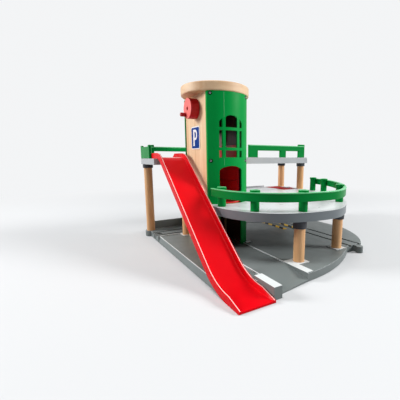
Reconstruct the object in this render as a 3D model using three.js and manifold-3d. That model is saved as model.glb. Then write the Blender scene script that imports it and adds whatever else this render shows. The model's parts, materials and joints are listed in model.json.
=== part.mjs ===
import * as THREE from 'three';
import Module from 'manifold-3d';
import { mergeVertices } from 'three/addons/utils/BufferGeometryUtils.js';

// Toy parking garage with a lift. Millimetres, +Z up, the decks lie along +X and +Y of the tower.
// Sizes are worked out about the tower's axis, and the last lines move the middle of the whole
// footprint to the origin, with the floor at zero.

// Driving sizes
const levelStep = 80;
const baseThickness = 12;
const towerHalfWidth = 40;
const towerHalfDepth = 48;
const towerRadius = 62;
const upperRoomHeight = 112;
const deckRight = 294;
const deckBack = 153;
const upperDeckLeft = -106;
const postRadius = 8.75;
const laneWidth = 40;

// Clearances and small sizes that many pieces share
const fitGap = 0.3;
const runningGap = 0.4;
const overrun = 5;
const groundLevel = baseThickness;
const midLevel = groundLevel + levelStep;
const upperLevel = midLevel + levelStep;
const towerTop = upperLevel + upperRoomHeight;

// Counts of facets
const postSides = 20;
const smallSides = 16;
const wheelSides = 32;
const bendSteps = 10;
const rimSteps = 18;
const cornerSteps = 4;
const cordSides = 8;

// Colours
const wood = { color: 0xe3c49c, roughness: 0.55, metalness: 0 };
const green = { color: 0x009647, roughness: 0.35, metalness: 0 };
const red = { color: 0xd8101c, roughness: 0.35, metalness: 0 };
const grey = { color: 0x7e8588, roughness: 0.5, metalness: 0 };
const blue = { color: 0x0f4b9b, roughness: 0.4, metalness: 0 };
const steel = { color: 0xb8bbc0, roughness: 0.3, metalness: 1 };
const cordWhite = { color: 0xe8e4da, roughness: 0.9, metalness: 0 };

// Joining and cutting
const wasm = await Module();
wasm.setup();

function toSolid(geometry) {
  const plain = geometry.clone();
  plain.deleteAttribute('normal');
  plain.deleteAttribute('uv');
  const merged = mergeVertices(plain);
  return new wasm.Manifold(
    new wasm.Mesh({
      numProp: 3,
      vertProperties: new Float32Array(merged.attributes.position.array),
      triVerts: new Uint32Array(merged.index.array),
    }),
  );
}

function toGeometry(solid) {
  const mesh = solid.getMesh();
  const geometry = new THREE.BufferGeometry();
  geometry.setAttribute('position', new THREE.BufferAttribute(mesh.vertProperties, mesh.numProp));
  geometry.setIndex(new THREE.BufferAttribute(mesh.triVerts, 1));
  geometry.computeVertexNormals();
  return geometry;
}

const join = (...parts) => toGeometry(parts.map(toSolid).reduce((sum, next) => sum.add(next)));
const cut = (body, ...tools) =>
  toGeometry(tools.map(toSolid).reduce((rest, tool) => rest.subtract(tool), toSolid(body)));
const common = (first, second) => toGeometry(toSolid(first).intersect(toSolid(second)));

// Plain shapes: a box between two corners, rods along each axis and plates from an outline
function block([x0, y0, z0], [x1, y1, z1]) {
  const box = new THREE.BoxGeometry(x1 - x0, y1 - y0, z1 - z0);
  return box.translate((x0 + x1) / 2, (y0 + y1) / 2, (z0 + z1) / 2);
}

function rodZ(radius, x, y, z0, z1, sides = postSides) {
  const rod = new THREE.CylinderGeometry(radius, radius, z1 - z0, sides);
  return rod.rotateX(Math.PI / 2).translate(x, y, (z0 + z1) / 2);
}

function rodY(radius, x, z, y0, y1, sides = smallSides) {
  const rod = new THREE.CylinderGeometry(radius, radius, y1 - y0, sides);
  return rod.translate(x, (y0 + y1) / 2, z);
}

function rodX(radius, y, z, x0, x1, sides = smallSides) {
  const rod = new THREE.CylinderGeometry(radius, radius, x1 - x0, sides);
  return rod.rotateZ(Math.PI / 2).translate((x0 + x1) / 2, y, z);
}

const outline = (points) => new THREE.Shape(points.map(([u, v]) => new THREE.Vector2(u, v)));

function slab(points, z0, z1) {
  const plate = new THREE.ExtrudeGeometry(outline(points), { depth: z1 - z0, bevelEnabled: false });
  return plate.translate(0, 0, z0);
}

// An outline of (y, z) points drawn out along X
function drawnX(points, x0, x1) {
  const piece = new THREE.ExtrudeGeometry(outline(points), { depth: x1 - x0, bevelEnabled: false });
  const turn = new THREE.Matrix4().makeBasis(
    new THREE.Vector3(0, 1, 0),
    new THREE.Vector3(0, 0, 1),
    new THREE.Vector3(1, 0, 0),
  );
  return piece.applyMatrix4(turn).translate(x0, 0, 0);
}

// An outline of (x, z) points drawn out along Y
function drawnY(points, y0, y1) {
  const piece = new THREE.ExtrudeGeometry(outline(points), { depth: y1 - y0, bevelEnabled: false });
  return piece.rotateX(Math.PI / 2).translate(0, y1, 0);
}

// Points of an arc about (u, v), both ends included
function arc(u, v, radius, from, to, steps = bendSteps) {
  return Array.from({ length: steps + 1 }, (_, i) => {
    const angle = from + ((to - from) * i) / steps;
    return [u + radius * Math.cos(angle), v + radius * Math.sin(angle)];
  });
}

function roundedRectangle(u0, v0, u1, v1, corner) {
  const quarter = Math.PI / 2;
  return [
    ...arc(u1 - corner, v1 - corner, corner, 0, quarter, cornerSteps),
    ...arc(u0 + corner, v1 - corner, corner, quarter, 2 * quarter, cornerSteps),
    ...arc(u0 + corner, v0 + corner, corner, 2 * quarter, 3 * quarter, cornerSteps),
    ...arc(u1 - corner, v0 + corner, corner, 3 * quarter, 4 * quarter, cornerSteps),
  ];
}

// A closed outline moved inwards; its points run anticlockwise
function inset(points, distance) {
  const count = points.length;
  return points.map(([u, v], i) => {
    const [pu, pv] = points[(i + count - 1) % count];
    const [nu, nv] = points[(i + 1) % count];
    const before = new THREE.Vector2(u - pu, v - pv).normalize();
    const after = new THREE.Vector2(nu - u, nv - v).normalize();
    const mitre = new THREE.Vector2(-before.y - after.y, before.x + after.x).normalize();
    const reach = distance / (mitre.y * after.x - mitre.x * after.y);
    return [u + mitre.x * reach, v + mitre.y * reach];
  });
}

const model = new THREE.Group();

function add(name, geometry, look) {
  const mesh = new THREE.Mesh(geometry, new THREE.MeshStandardMaterial(look));
  mesh.name = name;
  model.add(mesh);
}

// Places of the round posts, each centre as [x, y]
const rightPostInset = 10;
const towerPostGap = 5.75;
const postA = [50, -183];
const postB = [157, -168];
const postC = [-towerHalfWidth, towerHalfDepth + towerPostGap + postRadius];
const postD = [deckRight - rightPostInset, 140];
const postE = [deckRight - rightPostInset, 62];
const postF = [-95, 141];
const socketDepth = 7;
const collarRadius = 10.7;
const midCollarDrop = 12;
const upperCollarDrop = 8;
const midDeckThickness = 14;
const upperDeckThickness = 12;
const deckSkin = 3.5;
const socketWeb = 3;
const midDeckUnderside = midLevel - midDeckThickness;
const upperDeckUnderside = upperLevel - upperDeckThickness;
const lowerPostTop = midLevel - socketDepth - socketWeb;
const upperPostTop = upperLevel - deckSkin - socketWeb;

// The ramp's long section: a flat on the deck, a bend over its edge, a straight run and a hollow
// bend out to the floor. Both bends keep their centres, so an offset only changes their radii.
const upperDeckGap = 2;
const upperDeckFront = towerHalfDepth + upperDeckGap;
const rampPlate = 2.5;
const rampRailHeight = 8;
const rampRailWidth = 4;
const rampLeft = -101;
const rampRight = -48;
const rampTopEnd = 100;
const rampTip = -248;
const rampFootBend = -222;
const rampTopRadius = 40;
const rampFootRadius = 100;
const rampBendStart = upperDeckFront - fitGap;
const rampTopZ = upperLevel + rampPlate;
const topCentreZ = rampTopZ - rampTopRadius;
const footCentreZ = rampPlate + rampFootRadius;
const bendDrop = footCentreZ - topCentreZ;
const bendSpan = Math.hypot(rampBendStart - rampFootBend, bendDrop);
const rampAngle =
  Math.asin((rampTopRadius + rampFootRadius) / bendSpan) -
  Math.atan2(bendDrop, rampBendStart - rampFootBend);

function rampLine(offset) {
  const up = Math.PI / 2;
  return [
    ...arc(rampBendStart, topCentreZ, rampTopRadius + offset, up, up + rampAngle),
    ...arc(rampFootBend, footCentreZ, rampFootRadius - offset, rampAngle - up, -up),
  ];
}

// Base moulding: plate with two track lanes, an exit lane sloping to the floor, post sockets,
// a pit for the lift, a parapet block and a wall along the back of the left lane
const baseLeft = -98;
const leftPlateFront = -208;
const exitLeft = -34;
const exitRight = 29;
const exitSlopeStart = -178;
const exitFront = -236;
const exitTipThickness = 1.2;
const rampGap = 1;
const parapetLeft = rampRight + rampGap;
const parapetFront = -243;
const parapetBack = -200;
const parapetHeight = 17;
const rightCornerFront = -226;
const laneCentreX = 201;
const laneCentreY = 100;
const laneEndFront = -174;
const laneBendRadius = 90;
const baseFrontBulgeX = 108;
const baseFrontBulgeY = -222;
const baseRightBulgeX = 268;
const baseRightBulgeY = -142;
const baseRightStraight = -70;
const backWallHeight = 18;
const backWallWidth = 5;
const backWallLeft = -84;
const grooveWidth = 6;
const grooveDepth = 3;
const grooveCentre = 12.5;
const trackPegRadius = 6.2;
const trackNeckHalf = 3.4;
const trackPegReach = 11;
const padHalf = 12;
const padHeight = 1;
const ridgeWidth = 2;
const cornerPadWidth = 11;
const footBossRadius = 12;
const pitDepth = 6;
const skirtWidth = 3;
const hollowDepth = 6;
const hollowWall = 5;

function baseOutline() {
  const laneLeft = laneCentreX - laneWidth / 2;
  const laneRight = laneCentreX + laneWidth / 2;
  const frontCurve = new THREE.QuadraticBezierCurve(
    new THREE.Vector2(exitRight, rightCornerFront),
    new THREE.Vector2(baseFrontBulgeX, baseFrontBulgeY),
    new THREE.Vector2(laneLeft, laneEndFront),
  );
  const rightCurve = new THREE.QuadraticBezierCurve(
    new THREE.Vector2(laneRight, laneEndFront),
    new THREE.Vector2(baseRightBulgeX, baseRightBulgeY),
    new THREE.Vector2(deckRight, baseRightStraight),
  );
  return [
    [baseLeft, deckBack],
    [baseLeft, leftPlateFront],
    [parapetLeft, leftPlateFront],
    [parapetLeft, parapetFront],
    [exitLeft, parapetFront],
    [exitLeft, exitFront],
    ...frontCurve.getPoints(bendSteps).map(({ x, y }) => [x, y]),
    ...rightCurve.getPoints(bendSteps).map(({ x, y }) => [x, y]),
    [deckRight, deckBack],
  ];
}

// A band that follows the lane from the left edge round its bend and out at the front
function laneBand(offset, width, z0, z1) {
  const bendX = laneCentreX - laneBendRadius;
  const bendY = laneCentreY - laneBendRadius;
  const outer = laneBendRadius + offset + width / 2;
  const inner = outer - width;
  return slab(
    [
      [baseLeft - overrun, bendY + inner],
      ...arc(bendX, bendY, inner, Math.PI / 2, 0),
      [bendX + inner, laneEndFront - overrun],
      [bendX + outer, laneEndFront - overrun],
      ...arc(bendX, bendY, outer, 0, Math.PI / 2),
      [baseLeft - overrun, bendY + outer],
    ],
    z0,
    z1,
  );
}

function baseGeometry() {
  const top = groundLevel;
  const pads = [postA, postB, postC, postD, postE].map(([x, y]) =>
    block([x - padHalf, y - padHalf, top - padHeight], [x + padHalf, y + padHalf, top + padHeight]),
  );
  const feet = [postA, postB, postC, postD, postE, postF];
  const sockets = feet.map(([x, y]) =>
    rodZ(postRadius + fitGap, x, y, top - socketDepth, top + backWallHeight),
  );
  const exitSlope = drawnX(
    [
      [exitSlopeStart, top],
      [exitFront, exitTipThickness],
      [exitFront - overrun, exitTipThickness],
      [exitFront - overrun, top + overrun],
      [exitSlopeStart, top + overrun],
    ],
    exitLeft + ridgeWidth,
    exitRight - ridgeWidth,
  );
  const ridgeBack = -towerHalfDepth - padHalf / 2;
  const rightRidge = block(
    [exitRight - ridgeWidth, rightCornerFront + padHeight, top - ridgeWidth],
    [exitRight, ridgeBack, top + padHeight],
  );
  const leftRidge = block(
    [exitLeft, parapetBack - fitGap, top - ridgeWidth],
    [exitLeft + ridgeWidth, ridgeBack, top + padHeight],
  );
  const cornerPads = [
    block(
      [exitRight - ridgeWidth, rightCornerFront + 2 * padHeight, top - padHeight],
      [exitRight + cornerPadWidth, postA[1] + padHalf, top + padHeight],
    ),
    block(
      [exitRight, postA[1] - padHalf, top - padHeight],
      [postA[0], postA[1] + padHalf, top + padHeight],
    ),
  ];
  const laneLine = block(
    [baseLeft, laneCentreY - laneWidth / 2 - overrun - ridgeWidth, top - ridgeWidth],
    [-towerHalfWidth - padHalf, laneCentreY - laneWidth / 2 - overrun, top + padHeight],
  );
  const parapet = block(
    [parapetLeft, parapetFront, 0],
    [exitLeft - fitGap, parapetBack, parapetHeight],
  );
  const backWall = block(
    [backWallLeft, deckBack - backWallWidth, top - padHeight],
    [towerHalfWidth, deckBack, top + backWallHeight],
  );
  const rampSeat = drawnX(
    [
      ...rampLine(-rampPlate - fitGap),
      [rampTip - overrun, -fitGap],
      [rampTip - overrun, upperLevel],
      [rampBendStart, upperLevel],
    ],
    rampLeft - overrun,
    rampRight + rampGap / 2,
  );
  const skirt = drawnY(
    [
      [baseLeft - overrun, 0],
      [baseLeft, 0],
      [baseLeft + skirtWidth, top],
      [baseLeft + skirtWidth, top + overrun],
      [baseLeft - overrun, top + overrun],
    ],
    leftPlateFront - overrun,
    laneCentreY - laneWidth / 2 - overrun - ridgeWidth,
  );
  const grooves = [-grooveCentre, grooveCentre].map((offset) =>
    laneBand(offset, grooveWidth, top - grooveDepth, top + overrun),
  );
  const socketRound = rodZ(
    trackPegRadius + fitGap,
    baseLeft + trackPegReach,
    laneCentreY,
    -overrun,
    top + overrun,
  );
  const socketNeck = block(
    [baseLeft - overrun, laneCentreY - trackNeckHalf, -overrun],
    [baseLeft + trackPegReach, laneCentreY + trackNeckHalf, top + overrun],
  );
  const pegRound = rodZ(trackPegRadius, laneCentreX, laneEndFront - trackPegReach, 0, top);
  const pegNeck = block(
    [laneCentreX - trackNeckHalf + fitGap, laneEndFront - trackPegReach, 0],
    [laneCentreX + trackNeckHalf - fitGap, laneEndFront + overrun, top],
  );
  const pitSide = liftHalfWidth + 2 * runningGap;
  const pit = block(
    [-pitSide, -towerInnerRadius, top - pitDepth],
    [pitSide, liftBack + 2 * runningGap, top + overrun],
  );
  const leftOfTower = -towerHalfWidth - hollowWall;
  const rightOfTower = towerHalfWidth + hollowWall;
  const laneInner = laneCentreX - laneWidth;
  const behindTower = postC[1] - footBossRadius;
  const hollows = [
    [baseLeft + skirtWidth + hollowWall, -towerRadius, leftOfTower, behindTower],
    [postC[0] + footBossRadius, postC[1], laneCentreX - laneBendRadius, laneCentreY + laneWidth / 2],
    [rightOfTower, postB[1] + footBossRadius, laneInner, postC[1] - hollowWall],
    [laneInner + hollowWall, laneEndFront / 2, postD[0] - footBossRadius, deckBack - footBossRadius],
  ].map(([x0, y0, x1, y1]) => block([x0, y0, -overrun], [x1, y1, hollowDepth]));
  const plate = join(slab(baseOutline(), 0, top), rodZ(footBossRadius, ...postF, 0, top), ...pads);
  const opened = cut(plate, exitSlope, skirt, ...grooves, socketRound, socketNeck, pit, ...hollows);
  const towerPad = block(
    [towerHalfWidth - padHalf / 2, -towerHalfDepth - padHalf, top - padHeight],
    [towerHalfWidth + padHalf / 2, -towerHalfDepth - padHalf / 4, top + padHeight],
  );
  const lines = [rightRidge, leftRidge, laneLine, ...cornerPads, towerPad];
  const raised = join(opened, ...lines, parapet, backWall, pegRound, pegNeck);
  return cut(raised, rampSeat, towerFootprint(), ...sockets);
}

// Tower: two wooden sides, a wooden back and lintel, a curved green front and a wooden roof disc
const sideThickness = 8;
const frontWall = 3.5;
const backThickness = 6;
const backDoorHeight = 52;
const sideInner = towerHalfWidth - sideThickness;
const towerInnerRadius = towerRadius - frontWall;
const sideFrontRadius = towerInnerRadius - fitGap;
const crankY = -2.5;
const crankDrop = 24;
const crankZ = towerTop - crankDrop;
const pulleyRise = 14;
const pulleyZ = groundLevel + pulleyRise;
const axleRadius = 3;
const pinRadius = 2;
const roofOverhang = 1;
const roofRadius = towerRadius + roofOverhang;
const roofThickness = 16;
const roofEdge = 1.5;

const frontReach = (radius, x) => Math.sqrt(radius * radius - x * x);

// The space that the tower's walls take above the base, with a small gap round them
function towerFootprint() {
  const side = towerHalfWidth + fitGap;
  const half = Math.asin(side / (towerRadius + fitGap));
  const down = -Math.PI / 2;
  return slab(
    [
      [side, towerHalfDepth + fitGap],
      [-side, towerHalfDepth + fitGap],
      ...arc(0, 0, towerRadius + fitGap, down - half, down + half, rimSteps),
    ],
    groundLevel,
    towerTop,
  );
}

function sideBoard(direction) {
  const outer = direction * towerHalfWidth;
  const inner = direction * sideInner;
  const points = [
    [outer, towerHalfDepth],
    [outer, -frontReach(sideFrontRadius, towerHalfWidth)],
    [inner, -frontReach(sideFrontRadius, sideInner)],
    [inner, towerHalfDepth],
  ];
  return slab(direction < 0 ? points : points.reverse(), groundLevel, towerTop);
}

function towerSides() {
  const bores = [
    rodX(axleRadius + runningGap, crankY, crankZ, -towerHalfWidth - overrun, -sideInner + overrun),
    rodX(pinRadius + fitGap, crankY, pulleyZ, -towerHalfWidth + overrun / 2, -sideInner + overrun),
  ];
  add('tower_side_left', cut(sideBoard(-1), ...bores), wood);
  add('tower_side_right', sideBoard(1), wood);
}

function towerBack() {
  const half = sideInner - fitGap;
  const front = towerHalfDepth - backThickness;
  add(
    'tower_back',
    block([-half, front, groundLevel], [half, towerHalfDepth, upperDeckUnderside - fitGap]),
    wood,
  );
  add(
    'tower_lintel',
    block([-half, front, upperLevel + backDoorHeight], [half, towerHalfDepth, towerTop]),
    wood,
  );
}

// Window rows are heights above the upper level, columns are distances from the middle
const paneHalf = 11.5;
const sidePaneInner = 17;
const sidePaneOuter = 22.5;
const windowRows = [
  [2, 14],
  [19, 48],
  [53, 68],
];
const arcTopRise = 5;
const doorHalf = 22.5;
const doorSpring = 58;
const doorRise = 9;
const screwX = 35.5;
const screwInset = 4;
const screwRadius = 3.1;
const screwHead = 1.2;
const screwHeights = [towerTop - screwInset, upperLevel - screwInset];

function windowTools() {
  const tools = [];
  windowRows.forEach(([low, high], row) => {
    const z0 = upperLevel + low;
    const z1 = upperLevel + high;
    const last = row === windowRows.length - 1;
    const crown = last ? arcTopRise : 0;
    tools.push([[-paneHalf, z0], [paneHalf, z0], [paneHalf, z1], [0, z1 + crown], [-paneHalf, z1]]);
    [-1, 1].forEach((side) => {
      const u0 = side * (side < 0 ? sidePaneOuter : sidePaneInner);
      const u1 = side * (side < 0 ? sidePaneInner : sidePaneOuter);
      const lift0 = last && side > 0 ? -crown : 0;
      const lift1 = last && side < 0 ? -crown : 0;
      tools.push([[u0, z0], [u1, z0], [u1, z1 + lift0], [u0, z1 + lift1]]);
    });
  });
  const near = -towerRadius - overrun;
  return tools.map((points) => drawnY(points, near, -towerInnerRadius / 2));
}

function doorTool(level) {
  const spring = level + doorSpring;
  const arch = Array.from({ length: bendSteps + 1 }, (_, i) => {
    const angle = (Math.PI * i) / bendSteps;
    return [doorHalf * Math.cos(angle), spring + doorRise * Math.sin(angle)];
  });
  const points = [[-doorHalf, level], [doorHalf, level], ...arch];
  return drawnY(points, -towerRadius - overrun, -towerInnerRadius / 2);
}

function frontShell() {
  const half = Math.asin(towerHalfWidth / towerRadius);
  const innerHalf = Math.asin(towerHalfWidth / towerInnerRadius);
  const down = -Math.PI / 2;
  return slab(
    [
      ...arc(0, 0, towerRadius, down - half, down + half, rimSteps),
      ...arc(0, 0, towerInnerRadius, down + innerHalf, down - innerHalf, rimSteps),
    ],
    groundLevel,
    towerTop,
  );
}

// A round piece square to the curved front, between two distances from the tower's axis
function screwAt(side, z, radius, near, far) {
  const turn = Math.asin(screwX / towerRadius);
  return rodY(radius, 0, 0, -far, -near).rotateZ(side * turn).translate(0, 0, z);
}

function screwPlaces() {
  return screwHeights.flatMap((z) => [-1, 1].map((side) => [side, z]));
}

function towerFront() {
  const headBottom = towerRadius - screwHead;
  const seats = screwPlaces().map(([side, z]) =>
    screwAt(side, z, screwRadius + fitGap, headBottom - fitGap, towerRadius + overrun),
  );
  const tools = [...windowTools(), doorTool(midLevel), doorTool(groundLevel - fitGap), ...seats];
  add('tower_front', cut(frontShell(), ...tools), green);
  const names = ['upper_left', 'upper_right', 'lower_left', 'lower_right'];
  screwPlaces().forEach(([side, z], i) => {
    add(`front_screw_${names[i]}`, screwAt(side, z, screwRadius, headBottom, towerRadius), steel);
  });
}

function roof() {
  const profile = [
    [0, towerTop],
    [roofRadius - roofEdge, towerTop],
    [roofRadius, towerTop + roofEdge],
    [roofRadius, towerTop + roofThickness - roofEdge],
    [roofRadius - roofEdge, towerTop + roofThickness],
    [0, towerTop + roofThickness],
  ].map(([u, v]) => new THREE.Vector2(u, v));
  add('roof', new THREE.LatheGeometry(profile, 2 * wheelSides).rotateX(Math.PI / 2), wood);
}

// Green frame on the tower's back, round the door to the upper deck, its feet let into the deck
const tongueHalf = sideInner - runningGap;
const doorFrameThickness = 3;
const doorFrameHalf = towerHalfWidth + 2;
const doorFrameFront = towerHalfDepth + fitGap;
const doorFrameBack = doorFrameFront + doorFrameThickness;
const doorFrameCorner = 4;

function doorFrame() {
  const open = tongueHalf + fitGap;
  const foot = upperDeckUnderside;
  const board = block(
    [-doorFrameHalf, doorFrameFront, foot],
    [doorFrameHalf, doorFrameBack, towerTop - fitGap],
  );
  const doorway = roundedRectangle(
    -open, foot - 2 * doorFrameCorner, open, upperLevel + backDoorHeight, doorFrameCorner,
  );
  const opening = drawnY(doorway, doorFrameFront - overrun, doorFrameBack + overrun);
  add('door_frame', cut(board, opening), green);
}

// Parking sign on the left side board
const signWidth = 38;
const signHeight = 41;
const signCentreY = 1.5;
const signBottom = 17;
const signThickness = 1;
const signCorner = 4;

function sign() {
  const half = signWidth / 2;
  const bottom = upperLevel + signBottom;
  const points = roundedRectangle(
    signCentreY - half, bottom, signCentreY + half, bottom + signHeight, signCorner,
  );
  const face = -towerHalfWidth - fitGap;
  add('sign_plate', drawnX(points, face - signThickness, face), blue);
}

// Crank: wheel and knob outside the left board, axle through it, drive pulley inside
const crankRadius = 17.75;
const crankThickness = 16;
const crankGap = 1;
const crankEdge = 1.5;
const hubDepth = 6;
const knobRadius = 3.5;
const knobReach = 10;
const knobSeat = 8;
const knobOffsetY = 8.5;
const knobOffsetZ = -10;
const pulleyRadius = 10.2;
const pulleyGroove = 8;
const pulleyWidth = 4.6;
const liftHalfWidth = 25;
const cordRadius = 0.8;
const cordLoopRadius = 9.1;
const cordX = -(sideInner + liftHalfWidth) / 2;

function turned(points, sides) {
  const profile = points.map(([u, v]) => new THREE.Vector2(u, v));
  return new THREE.LatheGeometry(profile, sides).rotateZ(-Math.PI / 2);
}

function crank() {
  const back = -towerHalfWidth - crankGap;
  const front = back - crankThickness;
  const boreRadius = axleRadius + fitGap;
  const wheel = turned(
    [
      [0, front],
      [crankRadius - crankEdge, front],
      [crankRadius, front + crankEdge],
      [crankRadius, back],
      [0, back],
    ],
    wheelSides,
  ).translate(0, crankY, crankZ);
  const knobY = crankY + knobOffsetY;
  const knobZ = crankZ + knobOffsetZ;
  const bore = rodX(boreRadius, crankY, crankZ, front + hubDepth, back + overrun);
  const knobHole = rodX(knobRadius + fitGap, knobY, knobZ, front - overrun, front + knobSeat);
  add('crank_wheel', cut(wheel, bore, knobHole), red);
  add('crank_knob', rodX(knobRadius, knobY, knobZ, front - knobReach, front + knobSeat - fitGap), red);
  const axleEnd = cordX + pulleyWidth / 2;
  add('crank_axle', rodX(axleRadius, crankY, crankZ, front + hubDepth + fitGap, axleEnd), steel);
}

function pulley(z, boreRadius) {
  const half = pulleyWidth / 2;
  const flange = half / 3;
  const points = [
    [boreRadius, -half],
    [pulleyRadius, -half],
    [pulleyRadius, -half + flange],
    [pulleyGroove, -half + flange],
    [pulleyGroove, half - flange],
    [pulleyRadius, half - flange],
    [pulleyRadius, half],
    [boreRadius, half],
    [boreRadius, -half],
  ];
  return turned(points, wheelSides).translate(cordX, crankY, z);
}

// Endless cord: two straight runs and a half turn round each pulley
function cordLoop() {
  const turnAt = (z, up) => {
    const ring = new THREE.TorusGeometry(cordLoopRadius, cordRadius, cordSides, wheelSides);
    const placed = ring.rotateY(Math.PI / 2).translate(cordX, crankY, z);
    const reach = cordLoopRadius + overrun;
    const z0 = up ? z : z - reach;
    const keep = block([cordX - reach, crankY - reach, z0], [cordX + reach, crankY + reach, z0 + reach]);
    return common(placed, keep);
  };
  const runs = [-1, 1].map((side) =>
    rodZ(cordRadius, cordX, crankY + side * cordLoopRadius, pulleyZ, crankZ, cordSides),
  );
  return join(turnAt(crankZ, true), turnAt(pulleyZ, false), ...runs);
}

function cordDrive() {
  add('drive_pulley', pulley(crankZ, axleRadius + fitGap), red);
  add('lower_pulley', pulley(pulleyZ, pinRadius + runningGap), red);
  const pinStart = -towerHalfWidth + overrun / 2 + fitGap;
  const pinEnd = cordX + pulleyWidth / 2;
  add('pulley_pin', rodX(pinRadius, crankY, pulleyZ, pinStart, pinEnd), steel);
  add('lift_cord', cordLoop(), cordWhite);
}

// Lift car: a floor with a low front lip between two tall side walls, open at front and back
const liftWall = 3;
const liftFloor = 4;
const liftWallHeight = 105;
const liftLip = 2.5;
const liftLipWidth = 3;
const liftBackGap = 1;
const liftBack = towerHalfDepth - backThickness - liftBackGap;
const liftWallSetback = 6.11;
const liftFrontRadius = towerInnerRadius - 2 * runningGap;
const liftFront = frontReach(liftFrontRadius, liftHalfWidth) - liftWallSetback;
const guideY = 20;
const guideHalf = 3;
const guideWidth = 3.7;
const shoeHalf = 6.5;
const shoeHeight = 10;
const shoeLow = 4;
const clampHalfHeight = 6;
const clampHalfDepth = 3;
const clampMargin = 1.4;

function liftOutline(radius) {
  const half = Math.asin(liftHalfWidth / radius);
  const down = -Math.PI / 2;
  return [
    ...arc(0, 0, radius, down - half, down + half),
    [liftHalfWidth, liftBack],
    [-liftHalfWidth, liftBack],
  ];
}

function liftCar() {
  const bottom = midLevel - liftFloor;
  const floorPlate = slab(liftOutline(liftFrontRadius), bottom, midLevel);
  const lip = cut(
    slab(liftOutline(liftFrontRadius), midLevel - fitGap, midLevel + liftLip),
    slab(liftOutline(liftFrontRadius - liftLipWidth), midLevel - overrun, midLevel + overrun),
    block(
      [-liftHalfWidth - overrun, -liftFront, midLevel - overrun],
      [liftHalfWidth + overrun, liftBack + overrun, midLevel + overrun],
    ),
  );
  const walls = [-1, 1].map((side) => {
    const outer = side * liftHalfWidth;
    const inner = side * (liftHalfWidth - liftWall);
    const low = [Math.min(outer, inner), -liftFront, bottom];
    return block(low, [Math.max(outer, inner), liftBack, midLevel + liftWallHeight]);
  });
  add('lift_car', join(floorPlate, lip, ...walls), red);
}

function liftGuides() {
  [-1, 1].forEach((side) => {
    const wallFace = side * (liftHalfWidth + fitGap);
    const boardFace = side * sideInner;
    const shoeFace = side * (sideInner - runningGap);
    const railFace = side * (sideInner - guideWidth);
    const span = (a, b) => [Math.min(a, b), Math.max(a, b)];
    const [r0, r1] = span(boardFace, railFace);
    const sideName = side < 0 ? 'left' : 'right';
    const railLow = [r0, guideY - guideHalf, groundLevel];
    const railHigh = [r1, guideY + guideHalf, towerTop - fitGap];
    add(`guide_rail_${sideName}`, block(railLow, railHigh), wood);
    const [s0, s1] = span(wallFace, shoeFace);
    const grooveSide = guideHalf + runningGap;
    const [g0, g1] = span(railFace - side * runningGap, boardFace + side * overrun);
    [shoeLow, liftWallHeight - shoeHeight - shoeLow].forEach((rise, i) => {
      const z0 = midLevel + rise;
      const body = block([s0, guideY - shoeHalf, z0], [s1, guideY + shoeHalf, z0 + shoeHeight]);
      const groove = block(
        [g0, guideY - grooveSide, z0 - overrun],
        [g1, guideY + grooveSide, z0 + shoeHeight + overrun],
      );
      add(`lift_shoe_${i === 0 ? 'lower' : 'upper'}_${sideName}`, cut(body, groove), red);
    });
  });
  const clampY = crankY - cordLoopRadius;
  const clampZ = (crankZ + pulleyZ) / 2;
  const clampBody = block(
    [cordX - cordRadius - clampMargin, clampY - clampHalfDepth, clampZ - clampHalfHeight],
    [-liftHalfWidth - fitGap, clampY + clampHalfDepth, clampZ + clampHalfHeight],
  );
  const clampBore = rodZ(
    cordRadius + runningGap, cordX, clampY,
    clampZ - clampHalfHeight - overrun, clampZ + clampHalfHeight + overrun, cordSides,
  );
  add('cord_clamp', cut(clampBody, clampBore), steel);
}

// Ramp: a thin running plate with a raised rail along each side and two pegs into the deck
const rampPegRadius = 3;
const rampPegLength = 6;
const rampPegY = 82;
const rampPegInset = 12;
const rampTaper = 8;

function ramp() {
  const top = rampLine(0);
  const under = rampLine(-rampPlate).reverse();
  const plate = drawnX(
    [
      [rampTopEnd, rampTopZ], ...top, [rampTip, rampPlate],
      [rampTip, 0], ...under, [rampTopEnd, upperLevel],
    ],
    rampLeft,
    rampRight,
  );
  const railPoints = [
    [rampTopEnd, rampTopZ],
    [rampTopEnd - rampTaper, rampTopZ + rampRailHeight],
    ...rampLine(rampRailHeight),
    [rampTip, rampPlate],
    [rampTip, 0],
    ...under,
    [rampTopEnd, upperLevel],
  ];
  const rails = [rampLeft, rampRight - rampRailWidth].map((x) =>
    drawnX(railPoints, x, x + rampRailWidth),
  );
  const pegs = rampPegPlaces().map(([x, y]) =>
    rodZ(rampPegRadius, x, y, upperLevel - rampPegLength, rampTopZ, smallSides),
  );
  add('ramp', join(plate, ...rails, ...pegs), red);
}

const rampPegPlaces = () => [
  [rampLeft + rampPegInset, rampPegY],
  [rampRight - rampPegInset, rampPegY],
];

// Mid deck: wraps the tower's right side and front, with a curved front edge and a trapdoor
const deckLeftEnd = -43;
const deckLeftStart = -60;
const deckLeftPull = -170;
const deckFrontX = 105;
const deckFrontY = -203;
const deckFrontPullLeft = 25;
const deckFrontPullRight = 165;
const deckRightPull = -75;
const deckRightStart = 20;
const deckTowerGap = 0.5;
const curbHeight = 4;
const curbWidth = 4;
const trapHingeInset = 26;
const trapWidth = 38;
const trapHinge = deckRight - trapHingeInset;
const trapLeft = trapHinge - trapWidth;
const trapFront = 62;
const trapBack = 146;
const trapThickness = 4;
const trapGap = 1;
const trapBarrel = 4;
const trapPinRadius = 1.6;
const trapPinSeat = 4;
const trapPinDrop = 5.5;
const trapSwing = 7;
const frameWidth = 6;
const leverLength = 16;
const leverLeft = deckRight - leverLength;
const leverReach = 2;
const leverFront = 92;
const leverBack = 110;
const leverPinInset = 9.5;
const leverPinX = deckRight - leverPinInset;
const leverDrop = 1;
const leverThickness = 4;
const leverBarrel = 3.6;
const leverPinDrop = 5;

const trapPinZ = midLevel - trapPinDrop;
const leverPinZ = midLevel - leverPinDrop;

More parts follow.
